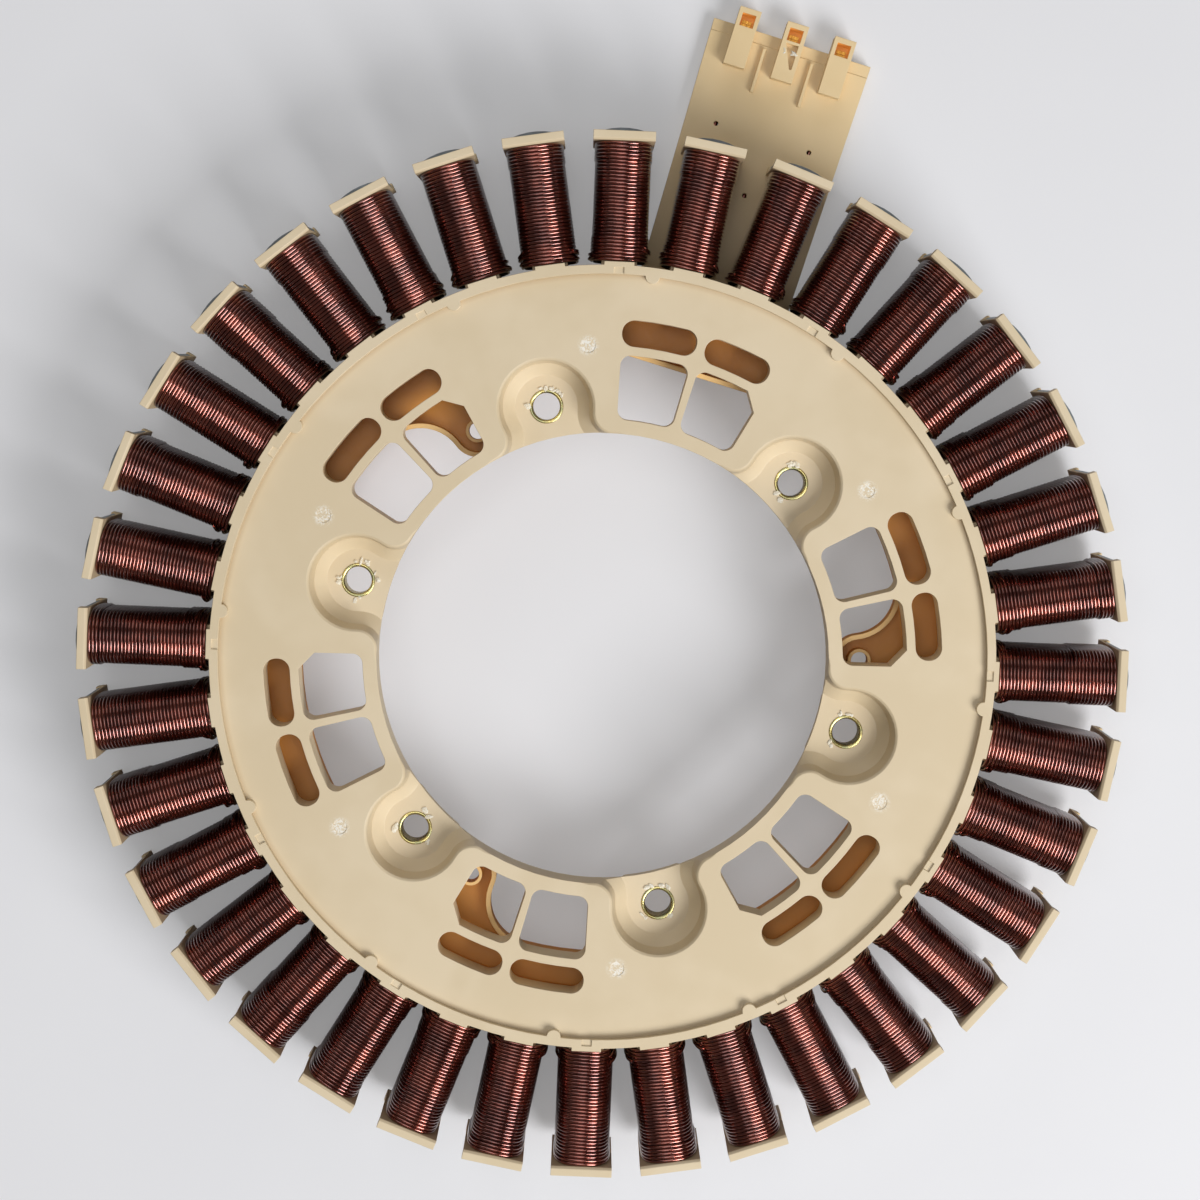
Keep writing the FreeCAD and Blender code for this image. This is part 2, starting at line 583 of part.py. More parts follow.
def makeTray(body):
    """The shallow tray under the windows: a walled ring with a straight side and three lugs."""
    ringOutline = newSketch(body, "TrayOutline", "XY_Plane")
    drawCircle(ringOutline, ("0", "0"), "trayInside")
    drawCircle(ringOutline, ("0", "0"), "skirtOutside")
    addFeature(body, "Pad", "TrayRing", ringOutline, Length="ribBottom")

    chordOutline = newSketch(body, "ChordOutline", "XY_Plane")
    halfChord = "sqrt(trayInside ^ 2 - chordDistance ^ 2)"
    drawBox(chordOutline, "0 - " + halfChord, halfChord, "chordDistance", "(trayInside + skirtInside) / 2")
    addFeature(body, "Pad", "TrayChord", chordOutline, Length="ribBottom")

    lugOutline = newSketch(body, "LugOutline", "XY_Plane", turn="lugAngle")
    nose = addArc(lugOutline, Vector(size("lugCircle"), 0, 0), size("lugRadius"), math.pi / 2, 3 * math.pi / 2)
    left = size("lugCircle")
    right = size("(trayInside + skirtInside) / 2")
    half = size("lugRadius")
    lower = lugOutline.addGeometry(Part.LineSegment(Vector(left, -half, 0), Vector(right, -half, 0)), False)
    outer = lugOutline.addGeometry(Part.LineSegment(Vector(right, -half, 0), Vector(right, half, 0)), False)
    upper = lugOutline.addGeometry(Part.LineSegment(Vector(right, half, 0), Vector(left, half, 0)), False)
    for joint in ((nose, 2, lower, 1), (upper, 2, nose, 1)):
        lugOutline.addConstraint(Sketcher.Constraint("Tangent", *joint))
    for joint in ((lower, 2, outer, 1), (outer, 2, upper, 1)):
        lugOutline.addConstraint(Sketcher.Constraint("Coincident", *joint))
    lugOutline.addConstraint(Sketcher.Constraint("Horizontal", lower))
    lugOutline.addConstraint(Sketcher.Constraint("Vertical", outer))
    holdPoint(lugOutline, nose, 3, ("lugCircle", "0"))
    hold(lugOutline, "Radius", (nose,), "lugRadius")
    hold(lugOutline, "DistanceX", (-1, 1, outer, 1), "(trayInside + skirtInside) / 2")
    lug = addFeature(body, "Pad", "Lug", lugOutline, Length="ribBottom")
    lugCount = "floor(boltCount / lugSpacing)"
    lugStep = "360 * lugSpacing / boltCount"
    repeatAround(body, "Lugs", [lug], lugCount, lugStep)

    def isLugRoot(edge, sideSign):
        radius, angle = middleOf(edge)
        offset = fromNearest(angle, size("lugAngle"), size(lugStep))
        atSide = 0 < sideSign * math.radians(offset) * radius < 2 * size("lugRadius")
        return isUpright(edge) and near(radius, size("trayInside")) and atSide

    dress(body, "Fillet", "LugFillets", lambda edge: isLugRoot(edge, 1), "lugFillet")
    dress(body, "Fillet", "LugSmallFillets", lambda edge: isLugRoot(edge, -1), "lugSmallFillet")

    solid = body.Tip
    top = size("ribBottom")
    names = ["Face%d" % number for number, face in enumerate(solid.Shape.Faces, start=1)
             if near(face.BoundBox.ZMin, top)]
    shell = body.newObject("PartDesign::Thickness", "TrayShell")
    shell.Base = (solid, names)
    shell.Value = size("trayWall")
    shell.setExpression("Value", full("trayWall"))
    shell.Reversed = True
    shell.Join = "Arc"
    body.Tip = shell
    document.recompute()

    collarOutline = newSketch(body, "CollarOutline", "XY_Plane", turn="lugAngle")
    drawCircle(collarOutline, ("lugCircle", "0"), "lugHole + collarWall")
    collar = addFeature(body, "Pad", "LugCollar", collarOutline, Length="ribBottom")
    holeOutline = newSketch(body, "LugHoleOutline", "XY_Plane", turn="lugAngle")
    drawCircle(holeOutline, ("lugCircle", "0"), "lugHole")
    hole = cutThrough(body, "LugHole", holeOutline)
    repeatAround(body, "LugHoles", [collar, hole], lugCount, lugStep)


def makeConnector(body):
    """The flat plate that carries the three sockets, with a lead channel under each of them."""
    root = "sqrt(rimRadius ^ 2 - plateRootHalfWidth ^ 2) - seatGap"
    plate = newSketch(body, "PlateOutline", "XY_Plane", level="baseLevel")
    drawPolygon(plate, (
        ("0 - plateRootHalfWidth", root), ("plateRootHalfWidth", root),
        ("plateHalfWidth", "plateEnd"), ("0 - plateHalfWidth", "plateEnd")))
    addFeature(body, "Pad", "Plate", plate, Length="plateThickness")
    strip = newSketch(body, "StripOutline", "XY_Plane", level="plateTop")
    drawBox(strip, "0 - plateHalfWidth - 1", "plateHalfWidth + 1", "plateEnd - stripWidth", "plateEnd + 1")
    addFeature(body, "Pocket", "EndStrip", strip, Length="stripDrop")

    middles = ("0 - socketPitch", "0", "socketPitch")
    housings = newSketch(body, "SocketOutlines", "XY_Plane", level="baseLevel")
    for middle in middles:
        drawBox(housings, middle + " - socketHalfWidth", middle + " + socketHalfWidth",
                "socketStart", "socketEnd")
    addFeature(body, "Pad", "Sockets", housings, Length="plateThickness + socketHeight")
    guides = newSketch(body, "GuideRibOutlines", "XY_Plane", level="laneTop")
    for middle in ("0 - socketPitch / 2", "socketPitch / 2"):
        drawBox(guides, middle + " - guideWidth / 2", middle + " + guideWidth / 2",
                "plateEnd - guideInset - guideLength", "plateEnd - guideInset")
    addFeature(body, "Pad", "GuideRibs", guides, Length="plateSkin + guideRise")

    lanes = newSketch(body, "LaneOutlines", "XY_Plane", level="baseLevel")
    openings = newSketch(body, "SocketOpeningOutlines", "XY_Plane", level="socketTop")
    for middle in middles:
        drawBox(lanes, middle + " - laneHalfWidth", middle + " + laneHalfWidth",
                "rimInside - rimWidth", "plateEnd - plateSkin")
        opening = "(socketHalfWidth - socketWall)"
        drawBox(openings, middle + " - " + opening, middle + " + " + opening, "openingStart", "openingEnd")
    addFeature(body, "Pocket", "Lanes", lanes, Length="laneTop - baseLevel", Reversed=True)
    passages = newSketch(body, "TerminalPassageOutlines", "XY_Plane", level="baseLevel")
    for middle in middles:
        half = "(socketHalfWidth - socketWall)"
        drawBox(passages, middle + " - " + half, middle + " + " + half,
                "plateEnd - 2 * plateSkin", "openingEnd")
    addFeature(body, "Pocket", "TerminalPassages", passages, Length="laneTop - baseLevel", Reversed=True)
    floors = newSketch(body, "SocketFloorOutlines", "XY_Plane", level="baseLevel")
    for middle in middles:
        drawBox(floors, middle + " - socketHalfWidth", middle + " + socketHalfWidth",
                "openingStart", "socketEnd")
    addFeature(body, "Pad", "SocketFloors", floors, Length="openingFloor - baseLevel")
    addFeature(body, "Pocket", "SocketOpenings", openings, Length="socketTop - openingFloor")

    tear = newSketch(body, "TearOutline", "XY_Plane", level="socketTop")
    drawPolygon(tear, (
        ("tearHalfWidth", "openingStart - tearInset"), ("0 - tearHalfWidth", "openingStart - tearInset"),
        ("tearHalfWidth * 2 / 3", "openingStart - tearInset - tearLength"),
        ("tearHalfWidth", "openingStart - tearInset - tearLength")))
    addFeature(body, "Pocket", "TornPlace", tear, Length="tearDepth")
    pins = newSketch(body, "PinHoleOutlines", "XY_Plane")
    for place in (("pinSpread", "plateEnd - pinReach"), ("0 - pinSpread", "plateEnd - pinReach"),
                  ("0", "plateEnd - pinMiddleReach")):
        drawCircle(pins, place, "pinHole")
    cutThrough(body, "PinHoles", pins)


def makeLowerInsulator():
    """The lower moulding: tray, lead channel under the yoke, connector and lower tooth insulation."""
    body = newBody("lower_insulator")
    makeTray(body)
    section = newSketch(body, "LowerSection", "XZ_Plane")
    roof = "0 - capTop"
    skirtTop = "ribBottom - splitGap / 2"
    drawPolygon(section, (
        ("skirtInside", "baseLevel"), ("skirtOutside", "baseLevel"), ("skirtOutside", roof),
        ("rimInside", roof), ("rimInside", "baseLevel"), ("rimRadius", "baseLevel"),
        ("rimRadius", "0 - splitGap / 2"), ("linerInside", "0 - splitGap / 2"),
        ("linerInside", "0 - underside"), ("skirtOutside", "0 - underside"),
        ("skirtOutside", skirtTop), ("skirtInside", skirtTop)))
    revolve(body, "LowerRing", section, "V_Axis", Angle="360")
    makeConnector(body)
    makeToothInsulation(body, -1)
    return body


def makeCore():
    """The laminated ring with its teeth. Each pole face is crowned."""
    body = newBody("stator_core")
    yoke = newSketch(body, "YokeOutline", "XY_Plane")
    drawCircle(yoke, ("0", "0"), "yokeInside")
    drawCircle(yoke, ("0", "0"), "yokeOutside")
    addFeature(body, "Pad", "Yoke", yoke, Length="stackHeight", SideType="Symmetric")

    tooth = newSketch(body, "ToothOutline", "XY_Plane", turn="toothPitch / 2")
    root = size("yokeOutside - toothHalfWidth")
    shoe = size("shoeRadius")
    half = size("toothHalfWidth")
    wide = size("shoeHalfWidth")
    crown = size("poleCrown")
    centre = Vector(size("poleRadius") - crown, 0, 0)
    spread = math.asin(wide / crown)
    tip = centre.x + crown * math.cos(spread)
    corners = [(tip, -wide), (shoe, -wide), (shoe, -half), (root, -half),
               (root, half), (shoe, half), (shoe, wide), (tip, wide)]
    points = [Vector(x, y, 0) for x, y in corners]
    lines = [tooth.addGeometry(Part.LineSegment(*pair), False) for pair in zip(points, points[1:])]
    face = addArc(tooth, centre, crown, -spread, spread)
    for line, following in zip(lines, lines[1:]):
        tooth.addConstraint(Sketcher.Constraint("Coincident", line, 2, following, 1))
    tooth.addConstraint(Sketcher.Constraint("Coincident", lines[-1], 2, face, 2))
    tooth.addConstraint(Sketcher.Constraint("Coincident", face, 1, lines[0], 1))
    holdPoint(tooth, face, 3, ("poleRadius - poleCrown", "0"))
    hold(tooth, "Radius", (face,), "poleCrown")
    for line, height in ((1, "0 - shoeHalfWidth"), (2, "0 - toothHalfWidth"), (3, "0 - toothHalfWidth"),
                         (4, "toothHalfWidth"), (5, "toothHalfWidth"), (6, "shoeHalfWidth")):
        place = "yokeOutside - toothHalfWidth" if line in (3, 4) else "shoeRadius"
        holdPoint(tooth, lines[line], 1, (place, height))
    for line in (lines[0], lines[-1]):
        tooth.addConstraint(Sketcher.Constraint("Horizontal", line))
    pad = addFeature(body, "Pad", "Tooth", tooth, Length="stackHeight", SideType="Symmetric")
    repeatAround(body, "Teeth", [pad], "toothCount")
    return body


def makeCoil(number):
    """One winding, a box with cut corners round the insulated tooth."""
    body = newBody("coil_%02d" % number, turn="toothPitch * (%d - 0.5)" % number)
    outline = newSketch(body, "CoilOutline", "YZ_Plane", level="coilStart")
    drawBox(outline, "0 - coilHalfWidth", "coilHalfWidth", "0 - coilTop", "coilTop")
    drawBox(outline, "0 - coilInsideHalf", "coilInsideHalf", "0 - coilInsideTop", "coilInsideTop")
    addFeature(body, "Pad", "Winding", outline, Length="coilEnd - coilStart")
    document.recompute()

    def isOuterCorner(edge):
        box = edge.BoundBox
        return box.XLength > size("coilEnd - coilStart") / 2 and near(abs(box.YMin), size("coilHalfWidth"))

    dress(body, "Chamfer", "CoilCorners", isOuterCorner, "coilCorner")
    return body


def makeSleeve(number):
    """A steel sleeve in a boss, standing a little above the floor of the recess."""
    body = newBody("sleeve_%d" % number, turn="2 * groupAngle * (%d - 1)" % number, along="boltCircle / 2")
    section = newSketch(body, "SleeveSection", "XZ_Plane")
    drawBox(section, "sleeveBore", "sleeveRadius", "0", "dishFloor + sleeveLip")
    revolve(body, "Sleeve", section, "V_Axis", Angle="360")
    return body


def makeTerminal(letter, lane):
    """A terminal: a foot on the socket's floor, turned up at its end to catch its mating blade."""
    body = newBody("terminal_" + letter, along="%d * socketPitch" % lane)
    section = newSketch(body, "TerminalSection", "YZ_Plane")
    blade = "tabStart + tabFoot"
    drawPolygon(section, (
        ("tabStart", "openingFloor"), (blade, "openingFloor"), (blade, "socketTop - tabRecess"),
        (blade + " - tabThickness", "socketTop - tabRecess"),
        (blade + " - tabThickness", "openingFloor + tabThickness"),
        ("tabStart", "openingFloor + tabThickness")))
    addFeature(body, "Pad", "Terminal", section, SideType="Symmetric",
               Length="2 * (socketHalfWidth - socketWall - tabGap)")
    return body


def drawLeadRing(body, number, turn):
    """A lead's run in the channel: one straight piece per tooth, and number counted from the outside."""
    place = "(skirtOutside + leadPitch * (4.5 - %d))" % number
    outline = newSketch(body, "RunOutline", "XY_Plane", level="leadLevel", turn=turn)
    corners = []
    for sign in ("0 - ", "0 + "):
        radii = ["(%s - leadHalf)" % place, "(%s + leadHalf)" % place]
        for radius in radii if sign == "0 - " else reversed(radii):
            corners.append((radius, sign + radius + " * tan(toothPitch / 2)"))
    drawPolygon(outline, corners)
    run = addFeature(body, "Pad", "Run", outline, Length="2 * leadHalf", SideType="Symmetric")
    repeatAround(body, "Runs", [run], "leadSpan", "toothPitch")


def makeLead(letter, number, lane):
    """A phase lead: round the yoke in the channel, down, and out along its own lane to the terminal."""
    body = newBody("lead_" + letter)
    drawLeadRing(body, number, "90 + toothPitch * (%d - leadSpan)" % (1 - lane))
    across = "%d * socketPitch" % lane
    place = "sqrt((skirtOutside + leadPitch * (4.5 - %d)) ^ 2 - (%s) ^ 2)" % (number, across)
    drop = newSketch(body, "DropOutline", "XY_Plane", level="laneLevel - leadHalf")
    drawBox(drop, across + " - leadHalf", across + " + leadHalf", place + " - leadHalf", place + " + leadHalf")
    addFeature(body, "Pad", "Drop", drop, Length="leadLevel - laneLevel + 2 * leadHalf")
    lane = newSketch(body, "LaneRunOutline", "XY_Plane", level="laneLevel")
    drawBox(lane, across + " - leadHalf", across + " + leadHalf", place, "tabStart")
    addFeature(body, "Pad", "LaneRun", lane, Length="2 * leadHalf", SideType="Symmetric")
    return body


def makeNeutralLead(number):
    """The run that joins the ends of the three phases, in the innermost place of the channel."""
    body = newBody("lead_neutral")
    drawLeadRing(body, number, "90 + toothPitch * 2")
    return body


def checkAndWrite(parts):
    """Stop at anything that failed, then write each piece to its own file."""
    document.recompute()
    for item in document.Objects:
        if "Invalid" in item.State or "Error" in item.State:
            raise ValueError("%s did not build: %s" % (item.Name, item.State))
    for part in parts:
        shape = part.Shape
        if shape.isNull() or not shape.isValid() or len(shape.Solids) != 1:
            raise ValueError("%s is not one valid solid" % part.Label)
    os.makedirs("parts", exist_ok=True)
    for part in parts:
        part.Shape.exportStep("parts/%s.step" % part.Label)
    print("wrote %d pieces" % len(parts))


pieces = [makeUpperInsulator(), makeLowerInsulator(), makeCore()]
pieces += [makeCoil(number + 1) for number in range(round(size("toothCount")))]
pieces += [makeSleeve(number + 1) for number in range(round(size("boltCount")))]
for place, phase in enumerate("uvw", start=1):
    pieces.append(makeTerminal(phase, place - 2))
    pieces.append(makeLead(phase, place, place - 2))
pieces.append(makeNeutralLead(4))
checkAndWrite(pieces)
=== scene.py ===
import bmesh
import bpy
import math
import random
from mathutils import Matrix, Vector


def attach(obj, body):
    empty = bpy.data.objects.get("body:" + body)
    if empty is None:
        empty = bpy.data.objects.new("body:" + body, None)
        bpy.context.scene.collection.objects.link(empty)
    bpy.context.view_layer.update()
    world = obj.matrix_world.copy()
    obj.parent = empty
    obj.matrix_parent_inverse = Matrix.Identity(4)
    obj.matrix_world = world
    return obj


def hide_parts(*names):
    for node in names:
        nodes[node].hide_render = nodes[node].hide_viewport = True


# Motor stator: two beige mouldings over a laminated core, with a winding on each of its 36 teeth.

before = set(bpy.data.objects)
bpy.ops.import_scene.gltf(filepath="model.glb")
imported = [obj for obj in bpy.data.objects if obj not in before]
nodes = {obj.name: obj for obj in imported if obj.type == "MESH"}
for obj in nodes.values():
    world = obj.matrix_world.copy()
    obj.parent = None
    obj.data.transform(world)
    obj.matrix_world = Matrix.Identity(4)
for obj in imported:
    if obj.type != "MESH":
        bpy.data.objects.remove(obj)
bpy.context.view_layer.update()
mm = 0.001
noiseSpan = (0.3, 0.7)  # where nearly all values of a noise texture lie


def linear(hexColour):
    channels = [int(hexColour[place:place + 2], 16) / 255 for place in (1, 3, 5)]
    return [c / 12.92 if c <= 0.04045 else ((c + 0.055) / 1.055) ** 2.4 for c in channels] + [1]


def fillInputs(tree, node, inputs):
    # a socket is linked, a node gives its first open output, and anything else is set as a value
    for name, value in inputs.items():
        if isinstance(value, bpy.types.Node):
            value = next(output for output in value.outputs if output.enabled)
        if isinstance(value, bpy.types.NodeSocket):
            tree.links.new(value, node.inputs[name])
        else:
            node.inputs[name].default_value = value


def addNode(tree, kind, *values, inputs=None, **settings):
    # values fill the open inputs in their order, and inputs fills them by name
    node = tree.nodes.new(kind)
    for name, value in settings.items():
        setattr(node, name, value)
    openPlaces = [place for place, socket in enumerate(node.inputs) if socket.enabled]
    fillInputs(tree, node, {**dict(zip(openPlaces, values)), **(inputs or {})})
    return node


def newMaterial(name, **fixed):
    material = bpy.data.materials.new(name)
    material.use_nodes = True
    tree = material.node_tree
    tree.nodes.clear()
    shader = addNode(tree, "ShaderNodeBsdfPrincipled", inputs=fixed)
    addNode(tree, "ShaderNodeOutputMaterial", shader)
    place = addNode(tree, "ShaderNodeTexCoord").outputs["Object"]
    return material, tree, shader, place


def distanceFromAxis(tree, place):
    flat = addNode(tree, "ShaderNodeVectorMath", place, (1, 1, 0), operation="MULTIPLY")
    return addNode(tree, "ShaderNodeVectorMath", flat, operation="LENGTH")


# glass-filled polyester, injection moulded: dull beige, faintly clouded where the melt flowed; its grain is
# drawn coarser than the real one, so that it shows
polyester = {
    "upper": ("#DFCDAD", "#D9C6A4"), "lower": ("#EACF9F", "#E4C896"), "ior": 1.55,
    "cloudMm": 38, "cloudRoughness": 0.6, "cloudDistortion": 0.8, "flowMm": 9, "flowShare": 0.25,
    "toneRange": (0.38, 0.62), "grainMm": 0.7, "grainRoughness": 0.7, "grainDepthMm": 0.02,
    "grainStrength": 0.35, "roughness": (0.42, 0.56),
}


def mouldedPolyester(name, shades, addDetail):
    material, tree, shader, place = newMaterial(name, IOR=polyester["ior"])
    pale, deep = shades
    cloud = addNode(tree, "ShaderNodeTexNoise", inputs={
        "Vector": place, "Scale": 1 / (polyester["cloudMm"] * mm),
        "Roughness": polyester["cloudRoughness"], "Distortion": polyester["cloudDistortion"]})
    flow = addNode(tree, "ShaderNodeTexNoise", inputs={
        "Vector": place, "Scale": 1 / (polyester["flowMm"] * mm)})
    grain = addNode(tree, "ShaderNodeTexNoise", inputs={
        "Vector": place, "Scale": 1 / (polyester["grainMm"] * mm),
        "Roughness": polyester["grainRoughness"]})
    mixed = addNode(tree, "ShaderNodeMix", polyester["flowShare"], cloud, flow)
    tone = addNode(tree, "ShaderNodeMapRange", mixed, *polyester["toneRange"], 0, 1,
                   interpolation_type="SMOOTHSTEP")
    colour = addNode(tree, "ShaderNodeMix", tone, linear(pale), linear(deep), data_type="RGBA")
    rough = addNode(tree, "ShaderNodeMapRange", grain, *noiseSpan, *polyester["roughness"])
    colour, rough = addDetail(material, tree, shader, place, colour, rough)
    bump = addNode(tree, "ShaderNodeBump", inputs={
        "Height": grain, "Distance": polyester["grainDepthMm"] * mm, "Strength": polyester["grainStrength"]})
    fillInputs(tree, shader, {"Base Color": colour, "Roughness": rough, "Normal": bump})
    return material


# the lower moulding within the tray, with light and shade painted into its colour: a painted orange-brown
# shade where the web shades it, a painted light-brown highlight along the top of the wall, and a painted
# orange glow in the sockets, where daylight comes through their thin walls
trayPaintedLight = {
    "paintedShadeAmber": "#CE8B33", "tan": "#E2BC7E", "withinMm": 86.1, "edgeMm": 0.4, "tanAboveMm": 5.1, "tanFadeMm": 0.6,
    "glow": "#F0B45A", "paintedGlowStrength": 0.14, "socketPitchMm": 12.6, "socketFromMm": 161.2,
    "socketWidthMm": 1.8, "socketTopMm": -13.5, "socketFadeMm": 0.8,
}


def addTrayPaintedLight(material, tree, shader, place, colour, rough):
    x, y, z = addNode(tree, "ShaderNodeSeparateXYZ", place).outputs
    edge = trayPaintedLight["withinMm"] * mm
    # painted shade: the tray within the web's inner edge takes a darker orange-brown
    inPaintedShade = addNode(tree, "ShaderNodeMapRange", distanceFromAxis(tree, place),
                     edge, edge + trayPaintedLight["edgeMm"] * mm, 1, 0)
    # painted light: the top of the tray's wall is painted lighter, as if lit from above
    tanLevel = trayPaintedLight["tanAboveMm"] * mm
    litWallTop = addNode(tree, "ShaderNodeMapRange", z, tanLevel - trayPaintedLight["tanFadeMm"] * mm, tanLevel, 0, 1)
    paintedShadeAndLight = addNode(tree, "ShaderNodeMix", litWallTop, linear(trayPaintedLight["paintedShadeAmber"]), linear(trayPaintedLight["tan"]),
                   data_type="RGBA")
    colour = addNode(tree, "ShaderNodeMix", inPaintedShade, colour, paintedShadeAndLight, data_type="RGBA")
    # how far aside of the nearest socket's middle
    aside = addNode(tree, "ShaderNodeMath", x, trayPaintedLight["socketPitchMm"] / 2 * mm, operation="PINGPONG")
    within = addNode(tree, "ShaderNodeMath", aside, trayPaintedLight["socketWidthMm"] * mm, operation="LESS_THAN")
    beyond = addNode(tree, "ShaderNodeMath", y, trayPaintedLight["socketFromMm"] * mm, operation="GREATER_THAN")
    top = trayPaintedLight["socketTopMm"] * mm
    under = addNode(tree, "ShaderNodeMapRange", z, top, top - trayPaintedLight["socketFadeMm"] * mm, 0, 1)
    inSocket = addNode(tree, "ShaderNodeMath", within, beyond, operation="MULTIPLY")
    paintedGlowMask = addNode(tree, "ShaderNodeMath", inSocket, under, operation="MULTIPLY")
    # painted glow: below their top the sockets' walls turn orange and emit faintly, for the daylight through
    # them
    colour = addNode(tree, "ShaderNodeMix", paintedGlowMask, colour, linear(trayPaintedLight["glow"]), data_type="RGBA")
    strength = addNode(tree, "ShaderNodeMath", paintedGlowMask, trayPaintedLight["paintedGlowStrength"], operation="MULTIPLY")
    fillInputs(tree, shader, {"Emission Color": linear(trayPaintedLight["glow"]), "Emission Strength": strength})
    material.cycles.emission_sampling = "NONE"  # too faint to light anything else
    return colour, rough


# painted shade at the inner foot of the rim, darkening the web to brown there, and white scuffs where the
# ejector pins pressed
webShadeAndWear = {
    "footShade": "#A98A5C", "footShadeShare": 0.4, "footMm": 95.1, "footWidthMm": 1.6, "footShadeLevelMm": (15.1, 16.2),
    "markPitchDegrees": 60, "markDegrees": 50, "markCircleMm": 77.6, "scuff": "#F4F0E6",
    "scuffRadiusMm": 3.1, "scuffCore": 0.4, "scuffShare": 0.95, "scuffRoughness": 0.25, "fleckMm": 1,
    "fleckDetail": 4, "fleckRoughness": 0.75, "fleckDistortion": 1.5, "fleckRange": (0.47, 0.54),
}


def addWebShadeAndWear(material, tree, shader, place, colour, rough):
    x, y, z = addNode(tree, "ShaderNodeSeparateXYZ", place).outputs
    radius = distanceFromAxis(tree, place)
    # painted shade: the web turns brown just within the rim's foot, on its top only
    foot = webShadeAndWear["footMm"] * mm
    nearFoot = addNode(tree, "ShaderNodeMapRange", radius, foot - webShadeAndWear["footWidthMm"] * mm, foot, 0, 1,
                       interpolation_type="SMOOTHSTEP")
    low, high = webShadeAndWear["footShadeLevelMm"]
    onWeb = addNode(tree, "ShaderNodeMapRange", z, low * mm, high * mm, 1, 0)
    shadedFoot = addNode(tree, "ShaderNodeMath", nearFoot, onWeb, operation="MULTIPLY")
    footShade = addNode(tree, "ShaderNodeMath", shadedFoot, webShadeAndWear["footShadeShare"], operation="MULTIPLY")
    colour = addNode(tree, "ShaderNodeMix", footShade, colour, linear(webShadeAndWear["footShade"]), data_type="RGBA")
    # the marks repeat round the web, so the angle to the nearest one serves for all of them
    angle = addNode(tree, "ShaderNodeMath", y, x, operation="ARCTAN2")
    fromFirst = addNode(tree, "ShaderNodeMath", angle, math.radians(webShadeAndWear["markDegrees"]),
                        operation="SUBTRACT")
    toNearest = addNode(tree, "ShaderNodeMath", fromFirst, math.radians(webShadeAndWear["markPitchDegrees"] / 2),
                        operation="PINGPONG")
    direction = addNode(tree, "ShaderNodeCombineXYZ",
                        addNode(tree, "ShaderNodeMath", toNearest, operation="COSINE"),
                        addNode(tree, "ShaderNodeMath", toNearest, operation="SINE"))
    folded = addNode(tree, "ShaderNodeVectorMath", direction, radius, operation="SCALE")
    away = addNode(tree, "ShaderNodeVectorMath", folded, (webShadeAndWear["markCircleMm"] * mm, 0, 0),
                   operation="DISTANCE")
    reach = webShadeAndWear["scuffRadiusMm"] * mm
    near = addNode(tree, "ShaderNodeMapRange", away, reach * webShadeAndWear["scuffCore"], reach, 1, 0,
                   interpolation_type="SMOOTHSTEP")
    speck = addNode(tree, "ShaderNodeTexNoise", inputs={
        "Vector": place, "Scale": 1 / (webShadeAndWear["fleckMm"] * mm), "Detail": webShadeAndWear["fleckDetail"],
        "Roughness": webShadeAndWear["fleckRoughness"], "Distortion": webShadeAndWear["fleckDistortion"]})
    flecks = addNode(tree, "ShaderNodeMapRange", speck, *webShadeAndWear["fleckRange"], 0, 1,
                     interpolation_type="SMOOTHSTEP")
    scuffed = addNode(tree, "ShaderNodeMath", near, flecks, operation="MULTIPLY")
    white = addNode(tree, "ShaderNodeMath", scuffed, webShadeAndWear["scuffShare"], operation="MULTIPLY")
    colour = addNode(tree, "ShaderNodeMix", white, colour, linear(webShadeAndWear["scuff"]), data_type="RGBA")
    rough = addNode(tree, "ShaderNodeMath", white, webShadeAndWear["scuffRoughness"], rough,
                    operation="MULTIPLY_ADD")
    return colour, rough


# copper wire under a clear red-brown polyester-imide enamel: metal-bright along the middle, almost black at
# the sides, with a glassy skin that shows the lamps as sharp pinkish lines
enamel = {
    "middle": "#964A38", "dark": "#6B2A1C", "toneMm": 6, "toneRange": (0.35, 0.65), "skinMm": 2.5,
    "detail": 3, "roughness": (0.14, 0.2),
    "gloss": {"Metallic": 0.9, "Coat Weight": 1, "Coat Roughness": 0.08, "Coat IOR": 1.75},
}


def enamelledCopper():
    material, tree, shader, place = newMaterial("enamelledCopper", **enamel["gloss"])
    patch = addNode(tree, "ShaderNodeTexNoise", inputs={
        "Vector": place, "Scale": 1 / (enamel["toneMm"] * mm), "Detail": enamel["detail"]})
    tone = addNode(tree, "ShaderNodeMapRange", patch, *enamel["toneRange"], 0, 1,
                   interpolation_type="SMOOTHSTEP")
    colour = addNode(tree, "ShaderNodeMix", tone, linear(enamel["middle"]), linear(enamel["dark"]),
                     data_type="RGBA")
    skin = addNode(tree, "ShaderNodeTexNoise", inputs={
        "Vector": place, "Scale": 1 / (enamel["skinMm"] * mm), "Detail": enamel["detail"]})
    rough = addNode(tree, "ShaderNodeMapRange", skin, *noiseSpan, *enamel["roughness"])
    fillInputs(tree, shader, {"Base Color": colour, "Roughness": rough})
    return material


# electrical steel, punched and stacked: blue-grey oxide, with the edge of each sheet as a fine line
steel = {
    "oxide": "#AAB6BC", "worn": "#C2C8CA", "seam": "#3A4046", "seamShare": 0.7, "metallic": 0.4,
    "sheetMm": 0.5, "seamWidth": 0.14, "patchMm": 4, "patchDetail": 4, "patchRoughness": 0.65,
    "patchShare": 0.55, "roughness": (0.38, 0.6), "depthMm": 0.04, "depthStrength": 0.5,
}


